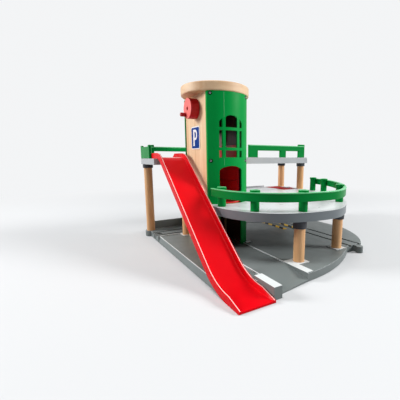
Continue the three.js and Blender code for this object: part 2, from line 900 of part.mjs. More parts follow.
function rimCurves() {
  const left = new THREE.CubicBezierCurve(
    new THREE.Vector2(deckLeftEnd, deckLeftStart),
    new THREE.Vector2(deckLeftEnd, deckLeftPull),
    new THREE.Vector2(deckFrontPullLeft, deckFrontY),
    new THREE.Vector2(deckFrontX, deckFrontY),
  );
  const right = new THREE.CubicBezierCurve(
    new THREE.Vector2(deckFrontX, deckFrontY),
    new THREE.Vector2(deckFrontPullRight, deckFrontY),
    new THREE.Vector2(deckRight, deckRightPull),
    new THREE.Vector2(deckRight, deckRightStart),
  );
  return [left, right];
}

function rimPoints() {
  const [left, right] = rimCurves();
  const points = [...left.getPoints(rimSteps), ...right.getPoints(rimSteps).slice(1)];
  return points.map(({ x, y }) => [x, y]);
}

function midDeckOutline() {
  const side = towerHalfWidth + deckTowerGap;
  const radius = towerRadius + deckTowerGap;
  const half = Math.asin(side / radius);
  const down = -Math.PI / 2;
  return [
    ...rimPoints(),
    [deckRight, deckBack],
    [side, deckBack],
    ...arc(0, 0, radius, down + half, down - half, rimSteps),
  ];
}

function deckBoss([x, y], underside, drop, level) {
  return rodZ(collarRadius, x, y, underside - drop, level);
}

function midDeck() {
  const edge = midDeckOutline();
  const opening = [
    [trapLeft - trapGap, trapFront - trapGap],
    [trapHinge + trapSwing, trapBack + trapGap],
  ];
  const notch = [
    [leverLeft - trapGap, leverFront - trapGap],
    [deckRight + overrun, leverBack + trapGap],
  ];
  const [[x0, y0], [x1, y1]] = opening;
  const [[u0, v0], [u1, v1]] = notch;
  const frames = [
    block([x0 - frameWidth, y0 - frameWidth, -overrun], [x1 + frameWidth, y1 + frameWidth, midLevel]),
    block([u0 - frameWidth, v0 - frameWidth, -overrun], [u1, v1 + frameWidth, midLevel]),
  ];
  const hollow = cut(
    slab(inset(edge, deckSkin), midDeckUnderside - overrun, midLevel - deckSkin),
    ...frames,
  );
  const posts = [postA, postB, postD, postE];
  const bosses = posts.map((place) => deckBoss(place, midDeckUnderside, midCollarDrop, midLevel));
  const sockets = posts.map(([x, y]) =>
    rodZ(postRadius + fitGap, x, y, 0, lowerPostTop + fitGap),
  );
  const upperSockets = [postD, postE].map(([x, y]) =>
    rodZ(postRadius + fitGap, x, y, midLevel - socketDepth, midLevel + overrun),
  );
  const curb = block(
    [towerHalfWidth + deckTowerGap, deckBack - curbWidth, midLevel - curbWidth],
    [x0, deckBack, midLevel + curbHeight],
  );
  const plate = cut(slab(edge, midDeckUnderside, midLevel), hollow);
  const cuts = [
    block([x0, y0, -overrun], [x1, y1, midLevel + overrun]),
    block([u0, v0, -overrun], [u1, v1, midLevel + overrun]),
    rodY(trapPinRadius + fitGap, trapHinge, trapPinZ, trapFront - trapPinSeat, trapBack + trapPinSeat),
    rodY(
      trapPinRadius + fitGap, leverPinX, leverPinZ, leverFront - trapPinSeat, leverBack + trapPinSeat,
    ),
  ];
  add('mid_deck', cut(join(plate, ...bosses, curb), ...cuts, ...sockets, ...upperSockets), grey);
}

// Trapdoor on a pin along its right edge, and the thumb lever beside it on a pin of its own
function trapdoor() {
  const leaf = block([trapLeft, trapFront, midLevel - trapThickness], [trapHinge, trapBack, midLevel]);
  const barrel = rodY(trapBarrel, trapHinge, trapPinZ, trapFront, trapBack);
  const boreRadius = trapPinRadius + runningGap;
  const bore = rodY(boreRadius, trapHinge, trapPinZ, trapFront - overrun, trapBack + overrun);
  add('trapdoor', cut(join(leaf, barrel), bore), red);
  const pinEnd = trapPinSeat - fitGap;
  const trapPin = rodY(trapPinRadius, trapHinge, trapPinZ, trapFront - pinEnd, trapBack + pinEnd);
  add('trapdoor_pin', trapPin, steel);
  const tongue = block(
    [leverLeft, leverFront, midLevel - leverDrop - leverThickness],
    [deckRight + leverReach, leverBack, midLevel - leverDrop],
  );
  const sleeve = rodY(leverBarrel, leverPinX, leverPinZ, leverFront, leverBack);
  const hole = rodY(boreRadius, leverPinX, leverPinZ, leverFront - overrun, leverBack + overrun);
  add('release_lever', cut(join(tongue, sleeve), hole), red);
  const leverPin = rodY(trapPinRadius, leverPinX, leverPinZ, leverFront - pinEnd, leverBack + pinEnd);
  add('lever_pin', leverPin, steel);
}

// Curved rail on the mid deck: a bar that follows the rim on capped round posts
const railInset = 4.2;
const railWidth = 5.4;
const railTop = 30;
const railBar = 14;
const railPostRadius = 7;
const railCapRadius = 8;
const railCapHeight = 3;
const railPostInset = 12.5;
const railPostShares = [0.035, 0.178, 0.332, 0.61, 0.89, 0.985];

// Place on the rim at a share of the rail's way, moved in from the edge by a distance
function onRim(share, distance) {
  const path = new THREE.CurvePath();
  rimCurves().forEach((curve) => path.add(curve));
  const point = path.getPointAt(share);
  const along = path.getTangentAt(share);
  return [point.x - along.y * distance, point.y + along.x * distance];
}

function midRail() {
  const steps = 2 * rimSteps;
  const shares = Array.from({ length: steps + 1 }, (_, i) => i / steps);
  const outer = shares.map((share) => onRim(share, railInset - railWidth / 2));
  const inner = shares.map((share) => onRim(share, railInset + railWidth / 2)).reverse();
  const bar = slab([...outer, ...inner], midLevel + railTop - railBar, midLevel + railTop);
  const posts = railPostShares.flatMap((share) => {
    const [x, y] = onRim(share, railPostInset);
    const z = midLevel + railTop;
    return [
      rodZ(railPostRadius, x, y, midLevel, z, smallSides),
      rodZ(railCapRadius, x, y, z - railCapHeight / 2, z + railCapHeight, smallSides),
    ];
  });
  add('mid_rail', join(bar, ...posts), green);
}

// Upper deck: a straight plate behind the tower, with a tongue into the tower's back door and a
// notch beside it for each foot of the door frame
const deckTongue = 4;

function upperDeck() {
  const tongueFront = liftBack + deckTongue / 2;
  const edge = [
    [upperDeckLeft, upperDeckFront],
    [deckRight + leverReach, upperDeckFront],
    [deckRight + leverReach, deckBack],
    [upperDeckLeft, deckBack],
  ];
  const hollow = slab(inset(edge, deckSkin), upperDeckUnderside - overrun, upperLevel - deckSkin);
  const posts = [postC, postD, postE, postF];
  const bosses = posts.map((place) =>
    deckBoss(place, upperDeckUnderside, upperCollarDrop, upperLevel - deckSkin / 2),
  );
  const pegBosses = rampPegPlaces().map(([x, y]) =>
    rodZ(rampPegRadius + deckSkin, x, y, upperDeckUnderside, upperLevel - deckSkin / 2, smallSides),
  );
  const socketTop = upperPostTop + fitGap;
  const sockets = posts.map(([x, y]) => rodZ(postRadius + fitGap, x, y, midLevel, socketTop));
  const pegBottom = upperLevel - rampPegLength - fitGap;
  const pegHoles = rampPegPlaces().map(([x, y]) =>
    rodZ(rampPegRadius + fitGap, x, y, pegBottom, upperLevel + overrun, smallSides),
  );
  const notchEnd = doorFrameHalf + fitGap;
  const notches = [[-notchEnd, -tongueHalf], [tongueHalf, notchEnd]].map(([x0, x1]) =>
    block(
      [x0, upperDeckFront - overrun, upperDeckUnderside - overrun],
      [x1, doorFrameBack + fitGap, upperLevel + overrun],
    ),
  );
  const tongue = block(
    [-tongueHalf, tongueFront, upperLevel - deckSkin],
    [tongueHalf, upperDeckFront + overrun, upperLevel],
  );
  const plate = cut(slab(edge, upperDeckUnderside, upperLevel), hollow, ...notches);
  add('upper_deck', cut(join(plate, ...bosses, ...pegBosses, tongue), ...sockets, ...pegHoles), grey);
}

// Upper rails: feet under a bar, each foot of the right rail as [start, end] measured back from
// the deck's right edge
const upperRailWidth = 6;
const railSetback = 1;
const rightRailBottom = 18.5;
const rightRailTop = 31.5;
const rightRailSpans = [
  [182, 157],
  [89, 71],
  [28, 8],
].map((span) => span.map((distance) => deckRight - distance));
const railEndRise = 4;
const leftRailBottom = 16;
const leftRailTop = 26;
const leftRailStart = -84;
const leftRailEnd = 8;
const leftPostWidth = 6;
const endPanelFront = 83;
const endPanelTop = 27;
const endPanelPost = 9;
const endPanelDip = 3;

function upperRails() {
  const y0 = upperDeckFront + railSetback;
  const y1 = y0 + upperRailWidth;
  const first = rightRailSpans[0][0];
  const last = rightRailSpans[rightRailSpans.length - 1][1];
  const bar = block([first, y0, upperLevel + rightRailBottom], [last, y1, upperLevel + rightRailTop]);
  const feet = rightRailSpans.map(([x0, x1], i) => {
    const rise = i === rightRailSpans.length - 1 ? railEndRise : 0;
    return block([x0, y0, upperLevel], [x1, y1, upperLevel + rightRailTop + rise]);
  });
  add('upper_rail_right', join(bar, ...feet), green);
  const back = deckBack - railSetback;
  const front = back - upperRailWidth;
  const x0 = upperDeckLeft;
  const x1 = rampLeft - fitGap;
  const leftBar = block(
    [leftRailStart, front, upperLevel + leftRailBottom],
    [leftRailEnd, back, upperLevel + leftRailTop],
  );
  const leftFeet = [leftRailStart, leftRailEnd - leftPostWidth].map((x) =>
    block([x, front, upperLevel], [x + leftPostWidth, back, upperLevel + leftRailTop + railEndRise]),
  );
  const panel = block(
    [x0, endPanelFront, upperLevel],
    [x1, back, upperLevel + endPanelTop - endPanelDip],
  );
  const panelPosts = [endPanelFront, back - endPanelPost].map((y) =>
    block([x0, y, upperLevel], [x1, y + endPanelPost, upperLevel + endPanelTop]),
  );
  add('upper_rail_left', join(leftBar, ...leftFeet), green);
  add('upper_end_panel', join(panel, ...panelPosts), green);
}

// Posts: plain wooden rods, seated in the base's sockets and in the decks' collars
function posts() {
  const foot = groundLevel - socketDepth;
  const upperFoot = midLevel - socketDepth;
  const rods = [
    ['post_front_left', postA, foot, lowerPostTop],
    ['post_front_right', postB, foot, lowerPostTop],
    ['post_tower', postC, foot, upperPostTop],
    ['post_left', postF, foot, upperPostTop],
    ['post_back_lower', postD, foot, lowerPostTop],
    ['post_right_lower', postE, foot, lowerPostTop],
    ['post_back_upper', postD, upperFoot, upperPostTop],
    ['post_right_upper', postE, upperFoot, upperPostTop],
  ];
  rods.forEach(([name, [x, y], z0, z1]) => add(name, rodZ(postRadius, x, y, z0, z1), wood));
}

add('base', baseGeometry(), grey);
towerSides();
towerBack();
towerFront();
roof();
doorFrame();
sign();
crank();
cordDrive();
liftCar();
liftGuides();
ramp();
midDeck();
trapdoor();
midRail();
upperDeck();
upperRails();
posts();

// The middle of the footprint goes to the origin
const wholeRight = deckRight + leverReach;
const wholeLeft = Math.min(upperDeckLeft, postF[0] - footBossRadius);
model.position.set(-(wholeLeft + wholeRight) / 2, -(rampTip + deckBack) / 2, 0);

export default model;
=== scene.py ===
import json
import math

import bmesh
import bpy
from mathutils import Matrix, Vector

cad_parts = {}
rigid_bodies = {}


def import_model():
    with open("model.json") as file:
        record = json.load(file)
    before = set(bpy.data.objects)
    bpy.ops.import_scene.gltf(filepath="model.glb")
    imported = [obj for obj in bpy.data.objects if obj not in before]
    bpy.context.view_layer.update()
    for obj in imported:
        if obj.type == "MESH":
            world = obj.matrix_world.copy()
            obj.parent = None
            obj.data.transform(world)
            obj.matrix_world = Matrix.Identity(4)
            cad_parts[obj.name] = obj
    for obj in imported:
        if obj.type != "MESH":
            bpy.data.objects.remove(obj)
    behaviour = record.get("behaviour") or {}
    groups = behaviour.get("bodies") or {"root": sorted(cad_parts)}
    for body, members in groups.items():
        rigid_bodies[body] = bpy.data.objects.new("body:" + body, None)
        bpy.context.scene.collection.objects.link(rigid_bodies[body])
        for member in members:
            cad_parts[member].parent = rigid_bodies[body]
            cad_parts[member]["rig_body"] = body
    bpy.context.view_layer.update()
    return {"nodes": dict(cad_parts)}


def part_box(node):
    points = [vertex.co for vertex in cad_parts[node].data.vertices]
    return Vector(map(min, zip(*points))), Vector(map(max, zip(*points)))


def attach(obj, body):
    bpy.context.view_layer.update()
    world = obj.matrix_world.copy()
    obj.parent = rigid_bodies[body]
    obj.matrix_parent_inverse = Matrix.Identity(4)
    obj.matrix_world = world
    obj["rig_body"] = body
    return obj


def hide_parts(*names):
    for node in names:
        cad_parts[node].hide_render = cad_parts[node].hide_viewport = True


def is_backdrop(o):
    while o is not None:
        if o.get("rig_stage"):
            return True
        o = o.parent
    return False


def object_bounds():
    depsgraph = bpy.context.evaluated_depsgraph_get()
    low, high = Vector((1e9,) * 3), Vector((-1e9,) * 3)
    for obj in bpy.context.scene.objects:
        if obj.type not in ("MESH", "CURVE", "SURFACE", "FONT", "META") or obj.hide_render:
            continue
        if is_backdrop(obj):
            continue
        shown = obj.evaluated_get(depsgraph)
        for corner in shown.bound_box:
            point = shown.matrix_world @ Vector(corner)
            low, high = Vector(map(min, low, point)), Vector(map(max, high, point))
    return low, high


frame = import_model()


# Camera
# It stands in front of the garage, to the left of the tower and level with the upper deck.
# Lengths are millimetres from the foot of the tower's axis, as in the part's source. The frame
# is in metres about the middle of the garage, so each mesh is moved there when it is done.
MM = 0.001
TOWER_X, TOWER_Y = -94.5, 47.5
TOWER_TO_MIDDLE = Matrix.Translation((TOWER_X * MM, TOWER_Y * MM, 0)) @ Matrix.Scale(MM, 4)
CAMERA_PLACE = (-252.4, -492.9, 172.0)
CAMERA_YAW, CAMERA_PITCH = 0.558, -0.16
FOCAL_PIXELS, AXIS_X_PIXEL, AXIS_Y_PIXEL, PHOTO_PIXELS = 280.6, 240, 203.8, 400
SENSOR_WIDTH, NEAREST, FARTHEST = 36, 0.01, 30
camera_data = bpy.data.cameras.new("camera")
camera = bpy.data.objects.new("camera", camera_data)
bpy.context.scene.collection.objects.link(camera)
bpy.context.scene.camera = camera
camera.location = TOWER_TO_MIDDLE @ Vector(CAMERA_PLACE)
camera.rotation_euler = (math.pi / 2 + CAMERA_PITCH, 0, -CAMERA_YAW)
camera_data.sensor_width = SENSOR_WIDTH
camera_data.lens = SENSOR_WIDTH * FOCAL_PIXELS / PHOTO_PIXELS
camera_data.shift_x = 0.5 - AXIS_X_PIXEL / PHOTO_PIXELS
camera_data.shift_y = AXIS_Y_PIXEL / PHOTO_PIXELS - 0.5
camera_data.clip_start, camera_data.clip_end = NEAREST, FARTHEST


# Studio
# A wide pale floor, with a large soft lamp behind at the left, one in front at the right and a
# weaker one above. The surroundings look pale to the camera and in gloss but give little light,
# and the floor looks paler than the light that it throws back. Lengths here are metres.
BACKDROP, FILL_LIGHT, FILL_STRENGTH = (0.90, 0.91, 0.92, 1), (0.94, 0.97, 1.0, 1), 0.12
FLOOR_RADIUS, FLOOR_SIDES, FLOOR_DROP = 9, 96, 0.0004
FLOOR_BOUNCE, FLOOR_SEEN = (0.36, 0.37, 0.38, 1), (0.64, 0.65, 0.66, 1)
FLOOR_ROUGH, FLOOR_GLOSS = 0.9, 0.1
FLOOR_LIT_TO, FLOOR_EVEN_FROM = 0.45, 1.3


def lamp(name, place, aim_height, size, watts):
    """A round soft lamp, aimed at a height above the middle of the garage."""
    data = bpy.data.lights.new(name, "AREA")
    data.shape, data.size, data.energy = "DISK", size, watts
    piece = bpy.data.objects.new(name, data)
    bpy.context.scene.collection.objects.link(piece)
    piece.location = place
    aim = Vector((0, 0, aim_height)) - Vector(place)
    piece.rotation_euler = aim.to_track_quat("-Z", "Y").to_euler()


def feed(tree, step, feeds):
    """Gives a shader step its inputs: plain values, or the outputs of earlier steps."""
    for name, value in feeds.items():
        if isinstance(value, bpy.types.NodeSocket):
            tree.links.new(value, step.inputs[name])
        else:
            step.inputs[name].default_value = value


def add_step(tree, kind, feeds=None, **settings):
    """Adds a shader step with its settings, then its inputs."""
    step = tree.nodes.new("ShaderNode" + kind)
    for name, value in settings.items():
        setattr(step, name, value)
    feed(tree, step, feeds or {})
    return step


def seen_share(tree):
    """One for rays that show the surroundings: the camera's, and those in gloss and glass."""
    path = add_step(tree, "LightPath")
    share = path.outputs["Is Camera Ray"]
    for kind in ("Is Glossy Ray", "Is Transmission Ray"):
        either = add_step(tree, "Math", {0: share, 1: path.outputs[kind]}, operation="MAXIMUM")
        share = either.outputs[0]
    return share


def new_finish(name):
    """A new material, its shader tree and the step that is its surface."""
    finish = bpy.data.materials.new(name)
    finish.use_nodes = True
    return finish, finish.node_tree, finish.node_tree.nodes["Principled BSDF"]


lamp("left_lamp", (-2.15, 1.2, 1.1), aim_height=0.12, size=1.0, watts=60)
lamp("right_lamp", (1.7, -1.4, 1.25), aim_height=0.12, size=1.0, watts=62)
lamp("top_lamp", (-0.5, -0.2, 2.5), aim_height=0.1, size=1.4, watts=36)
bpy.context.scene.view_settings.view_transform = "Standard"

world = bpy.data.worlds.new("studio")
bpy.context.scene.world = world
world.use_nodes = True
tree = world.node_tree
tree.nodes.clear()
seen = add_step(tree, "Background", {"Color": BACKDROP})
fill = add_step(tree, "Background", {"Color": FILL_LIGHT, "Strength": FILL_STRENGTH})
blend = add_step(tree, "MixShader", {0: seen_share(tree), 1: fill.outputs[0], 2: seen.outputs[0]})
add_step(tree, "OutputWorld", {0: blend.outputs[0]})

floor_mesh = bmesh.new()
bmesh.ops.create_circle(floor_mesh, cap_ends=True, radius=FLOOR_RADIUS, segments=FLOOR_SIDES)
bmesh.ops.translate(floor_mesh, verts=floor_mesh.verts, vec=(0, 0, -FLOOR_DROP))
floor_data = bpy.data.meshes.new("floor")
floor_mesh.to_mesh(floor_data)
floor_mesh.free()
floor = bpy.data.objects.new("floor", floor_data)
bpy.context.scene.collection.objects.link(floor)

# Far out the floor fades into the backdrop, for the eye only.
pale_floor, tree, paper = new_finish("pale_floor")
shade_feeds = {"Factor": seen_share(tree), "A": FLOOR_BOUNCE, "B": FLOOR_SEEN}
shade = add_step(tree, "Mix", shade_feeds, data_type="RGBA")
feed(tree, paper, {
    "Base Color": shade.outputs["Result"],
    "Roughness": FLOOR_ROUGH,
    "Specular IOR Level": FLOOR_GLOSS,
})
place = add_step(tree, "NewGeometry")
reach = add_step(tree, "VectorMath", {0: place.outputs["Position"]}, operation="LENGTH")
far_feeds = {"Value": reach.outputs["Value"], "From Min": FLOOR_LIT_TO, "From Max": FLOOR_EVEN_FROM}
far_share = add_step(tree, "MapRange", far_feeds, interpolation_type="SMOOTHSTEP")
even_feeds = {0: far_share.outputs["Result"], 1: seen_share(tree)}
even_share = add_step(tree, "Math", even_feeds, operation="MULTIPLY")
even = add_step(tree, "Emission", {"Color": BACKDROP})
blend_feeds = {0: even_share.outputs[0], 1: paper.outputs[0], 2: even.outputs[0]}
blend = add_step(tree, "MixShader", blend_feeds)
feed(tree, tree.nodes["Material Output"], {"Surface": blend.outputs[0]})
floor_data.materials.append(pale_floor)
floor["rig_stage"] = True


# Base moulding
# One injection moulding in mid grey plastic, with track lanes, post sockets and a parapet block.
# Its raised lines and pads are paler than the satin plate between them, and its rounded edges
# are coloured paler as a painted highlight.
def rgb(red, green, blue):
    """The linear colour of three 0 to 255 display values."""
    parts = [c / 255 for c in (red, green, blue)]
    return tuple(c / 12.92 if c <= 0.04045 else ((c + 0.055) / 1.055) ** 2.4 for c in parts) + (1,)


def lightened(colour, share):
    """A linear colour times a share, below one for darker."""
    return (*[min(1, c * share) for c in colour[:3]], 1)


def patches(tree, place, scale, detail, distortion=0.0):
    """A share that drifts between 0 and 1 over the piece."""
    feeds = {"Vector": place, "Scale": scale, "Detail": detail, "Distortion": distortion}
    return add_step(tree, "TexNoise", feeds).outputs["Fac"]


def tones(tree, share, dark, light, dark_to=0.0, light_from=1.0, blending="LINEAR"):
    """A colour that goes from dark to light as the share rises."""
    step = add_step(tree, "ValToRGB", {"Fac": share})
    step.color_ramp.interpolation = blending
    low, high = step.color_ramp.elements
    low.position, high.position = dark_to, light_from
    low.color, high.color = dark, light
    return step.outputs["Color"]


def span(tree, share, low, high, start=0.0, end=1.0):
    """A value that goes from low to high as the share goes from start to end."""
    feeds = {"Value": share, "From Min": start, "From Max": end, "To Min": low, "To Max": high}
    return add_step(tree, "MapRange", feeds).outputs["Result"]


def bumps(tree, share, strength, depth):
    """A surface that stands out where the share is high, by a depth in metres."""
    feeds = {"Height": share, "Strength": strength, "Distance": depth}
    return add_step(tree, "Bump", feeds).outputs["Normal"]


def moulded_plastic(name, colour, rough, mottle=0.05, grain=0.05, gloss=0.22):
    """Satin toy plastic: a faint cloudiness, a fine grain in the surface and uneven gloss."""
    finish, tree, skin = new_finish(name)
    place = add_step(tree, "TexCoord").outputs["Object"]
    dark, light = lightened(rgb(*colour), 1 - mottle), lightened(rgb(*colour), 1 + mottle)
    cloud = patches(tree, place, scale=22, detail=4)
    wipe = patches(tree, place, scale=65, detail=5)
    pores = patches(tree, place, scale=1500, detail=2)
    feed(tree, skin, {
        "Base Color": tones(tree, cloud, dark, light, dark_to=0.3, light_from=0.7),
        "Roughness": span(tree, wipe, rough * 0.85, rough * 1.15, start=0.25, end=0.75),
        "Specular IOR Level": gloss,
        "Normal": bumps(tree, pores, grain, depth=0.0002),
    })
    return finish


SHARP_FROM = math.radians(38)


def settle(
    bm, name, body, finishes, stands_for=(), pick=None, edge=0.0, steps=2, corner=28,
):
    """Rounds the piece's edges, shades it, gives it its finishes and fixes it to its body.

    The edge is the width of the rounding in mm, cut where faces meet at more than the corner
    angle. pick tells which finish a face has."""
    bmesh.ops.recalc_face_normals(bm, faces=bm.faces)
    if edge:
        turn = math.radians(corner)
        corners = [e for e in bm.edges if e.is_manifold and e.calc_face_angle(0) > turn]
        bmesh.ops.bevel(
            bm, geom=corners, offset=edge * MM, offset_type="OFFSET", segments=steps,
            profile=0.5, affect="EDGES", clamp_overlap=True, material=-1,
        )
    for face in bm.faces:
        face.smooth = True
        if pick:
            face.material_index = pick(face)
    for side in bm.edges:
        side.smooth = not (side.is_manifold and side.calc_face_angle(0) > SHARP_FROM)
    mesh = bpy.data.meshes.new(name)
    bm.to_mesh(mesh)
    bm.free()
    for finish in finishes:
        mesh.materials.append(finish)
    piece = bpy.data.objects.new(name, mesh)
    bpy.context.scene.collection.objects.link(piece)
    flats = piece.modifiers.new("flats", "WEIGHTED_NORMAL")
    flats.keep_sharp = True
    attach(piece, body)
    if stands_for:
        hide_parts(*stands_for)
    return piece


JOINED_WITHIN, FLAT_WITHIN = 1e-6, math.radians(0.6)


def dress(node, finishes, pick=None, edge=0.4, steps=2):
    """A moulded or sawn piece over its own solid: the solid's copy with rounded edges."""
    bm = bmesh.new()
    bm.from_mesh(frame["nodes"][node].data)
    bmesh.ops.remove_doubles(bm, verts=bm.verts, dist=JOINED_WITHIN)
    bmesh.ops.dissolve_limit(bm, angle_limit=FLAT_WITHIN, verts=bm.verts, edges=bm.edges)
    body = frame["nodes"][node]["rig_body"]
    return settle(bm, node + "_dressed", body, finishes, (node,), pick, edge, steps)


base_plate_grey = moulded_plastic(
    "base_plate_grey", (114, 121, 120), rough=0.45, mottle=0.05, grain=0.12, gloss=0.22,
)
# Pale grey for the raised lines and pads, and as a painted highlight on the rounded edges.
base_line_and_highlight_grey = moulded_plastic(
    "base_line_and_highlight_grey", (216, 221, 221), rough=0.45, mottle=0.03, grain=0.08, gloss=0.25,
)
BASE_TOP, LINE_RISE, LINE_UP = 12, 0.3, 0.5
EDGE_HIGHLIGHT_DEPTH, EDGE_HIGHLIGHT_LEAST_UP, EDGE_HIGHLIGHT_MOST_UP = 0.6, 0.25, 0.97


def base_tone(face):
    """The pale finish on raised tops, and a painted highlight on the rounded edges round the plate.
    """
    height, up = face.calc_center_median().z, face.normal.z
    raised = height > (BASE_TOP + LINE_RISE) * MM and up > LINE_UP
    rounded_over = EDGE_HIGHLIGHT_LEAST_UP < up < EDGE_HIGHLIGHT_MOST_UP
    painted_edge_highlight = height > (BASE_TOP - EDGE_HIGHLIGHT_DEPTH) * MM and rounded_over
    return 1 if raised or painted_edge_highlight else 0


dress("base", [base_plate_grey, base_line_and_highlight_grey], base_tone, edge=0.6)


# Base lines
# A pale line runs along the base near its left edge, and two bands of slanting black and yellow
# stripes are printed on it below the mid deck. All lie a few tenths proud of the plate.
def plate(points, low, high, plane="xy"):
    """A flat outline drawn out between two levels, square to its plane."""
    bm = bmesh.new()
    lay = {
        "xy": lambda u, v: (u, v, low),
        "xz": lambda u, v: (u, low, v),
        "yz": lambda u, v: (low, u, v),
    }[plane]
    face = bm.faces.new([bm.verts.new(lay(u, v)) for u, v in points])
    rise = {"xy": (0, 0, 1), "xz": (0, 1, 0), "yz": (1, 0, 0)}[plane]
    drawn = bmesh.ops.extrude_face_region(bm, geom=[face])["geom"]
    far_verts = [v for v in drawn if isinstance(v, bmesh.types.BMVert)]
    bmesh.ops.translate(bm, verts=far_verts, vec=Vector(rise) * (high - low))
    bmesh.ops.recalc_face_normals(bm, faces=bm.faces)
    return bm


def brick(low, high):
    corners = [(low[0], low[1]), (high[0], low[1]), (high[0], high[1]), (low[0], high[1])]
    return plate(corners, low[2], high[2])


def to_frame(bm):
    """From millimetres about the tower to metres about the middle of the garage."""
    bmesh.ops.transform(bm, matrix=TOWER_TO_MIDDLE, verts=bm.verts)
    return bm


EDGE_LINE = ((-94.9, -178, 11.8), (-93.5, 76, 12.4))
edge_line = to_frame(brick(*EDGE_LINE))
settle(edge_line, "base_edge_line", "garage", [base_line_and_highlight_grey], edge=0.15)

HAZARD_BANDS = {
    "left": ((163, -17, 11.8), (173, 70, 12.3)),
    "right": ((191, -15, 11.8), (201, 34, 12.3)),
}
STRIPES_PER_UNIT, STRIPE_SLANT = 23, (1, -1, 0)
STRIPE_BLACK, STRIPE_YELLOW = (10, 10, 10), (236, 190, 30)
hazard_print, tree, ink = new_finish("hazard_print")
place = add_step(tree, "TexCoord").outputs["Object"]
slant = add_step(tree, "Mapping", {"Vector": place, "Scale": STRIPE_SLANT})
stripes = add_step(
    tree, "TexWave", {"Vector": slant.outputs["Vector"], "Scale": STRIPES_PER_UNIT},
    bands_direction="DIAGONAL",
)
feed(tree, ink, {
    "Base Color": tones(
        tree, stripes.outputs["Fac"], rgb(*STRIPE_BLACK), rgb(*STRIPE_YELLOW),
        light_from=0.5, blending="CONSTANT",
    ),
    "Roughness": 0.5,
    "Specular IOR Level": 0.1,
})
for label, corners in HAZARD_BANDS.items():
    band = to_frame(brick(*corners))
    settle(band, "hazard_band_" + label, "garage", [hazard_print], edge=0.1)


# Tower boards
# Two side boards, a back and a lintel sawn from pale beech, sanded and clear lacquered. Their
# inner faces take a dark copy of the beech as painted shade. The grain runs up the tower, and
# the boards are glued into the base and to each other.
INSIDE_SHADE_LIGHT, INSIDE_SHADE_DARK = (92, 60, 42), (62, 40, 28)
FACES_INWARD = 0.5


def beech(
    name, along="z", light=(236, 207, 168), dark=(218, 182, 138), shift=(0, 0, 0), figure=90,
    rough=0.5,
):
    """Lacquered beech: drifting tone, fine lines along the grain and short dark flecks."""
    finish, tree, skin = new_finish(name)
    place = add_step(tree, "TexCoord").outputs["Object"]

    def drawn_out(share):
        """Places for a pattern drawn out along the grain: the smaller the share, the farther."""
        scale = [share if axis == along else 1 for axis in "xyz"]
        feeds = {"Vector": place, "Location": shift, "Scale": scale}
        return add_step(tree, "Mapping", feeds).outputs["Vector"]

    growth = patches(tree, drawn_out(0.07), scale=figure, detail=5, distortion=0.6)
    fleck = patches(tree, drawn_out(0.12), scale=1100, detail=2)
    flecked_feeds = {
        "Factor": span(tree, fleck, 0, 0.32, start=0.6, end=0.78),
        "A": tones(tree, growth, rgb(*dark), rgb(*light), dark_to=0.32, light_from=0.68),
        "B": (0.55, 0.40, 0.27, 1),
    }
    flecked = add_step(tree, "Mix", flecked_feeds, data_type="RGBA", blend_type="MULTIPLY")
    feed(tree, skin, {
        "Base Color": flecked.outputs["Result"],
        "Roughness": span(tree, growth, rough * 0.8, rough * 1.2),
        "Specular IOR Level": 0.4,
        "Normal": bumps(tree, fleck, 0.12, depth=0.0003),
    })
    return finish


# The inner faces take this dark copy of the beech as painted shade.
board_inside_shaded_beech = beech(
    "board_inside_shaded_beech", light=INSIDE_SHADE_LIGHT, dark=INSIDE_SHADE_DARK, shift=(0.5, 0.7, 0.1),
)
board_back_beech = beech("board_back_beech", shift=(0.5, 0.7, 0.1))
BOARDS = {
    "tower_side_left": (beech("board_left_beech", shift=(0.31, 0.02, 0)), Vector((1, 0, 0))),
    "tower_side_right": (beech("board_right_beech", shift=(0.12, 0.2, 0.4)), Vector((-1, 0, 0))),
    "tower_back": (board_back_beech, Vector((0, -1, 0))),
    "tower_lintel": (board_back_beech, Vector((0, -1, 0))),
}
for name, (outside_beech, inward) in BOARDS.items():
    dress(
        name, [outside_beech, board_inside_shaded_beech],
        lambda face: 1 if face.normal.dot(inward) > FACES_INWARD else 0, edge=0.7, steps=3,
    )


# Tower front
# A curved shell moulded in glossy green plastic, with barred windows over two arched doorways.
# It is screwed to the side boards, and a mould rib runs down it left of the windows, coloured
# pale green as a painted highlight.
def spread(start, end, count):
    return [start + (end - start) * i / count for i in range(count + 1)]


def bow(cx, cy, rx, ry, start, end, count):
    """Points on an arc or part of an ellipse, from one angle to another in degrees."""
    return [
        (cx + rx * math.cos(math.radians(a)), cy + ry * math.sin(math.radians(a)))
        for a in spread(start, end, count)
    ]


def rod(radius, start, end, sides, far_radius=None):
    """A round bar between two points, or a cone where the far radius differs."""
    bm = bmesh.new()
    start, end = Vector(start), Vector(end)
    bmesh.ops.create_cone(
        bm, cap_ends=True, segments=sides, radius1=radius, radius2=far_radius or radius,
        depth=(end - start).length,
    )
    turn = (end - start).to_track_quat("Z", "Y").to_matrix().to_4x4()
    bmesh.ops.transform(bm, matrix=Matrix.Translation((start + end) / 2) @ turn, verts=bm.verts)
    return bm


WELD_WITHIN, LEVEL_WITHIN = 0.001, math.radians(0.3)


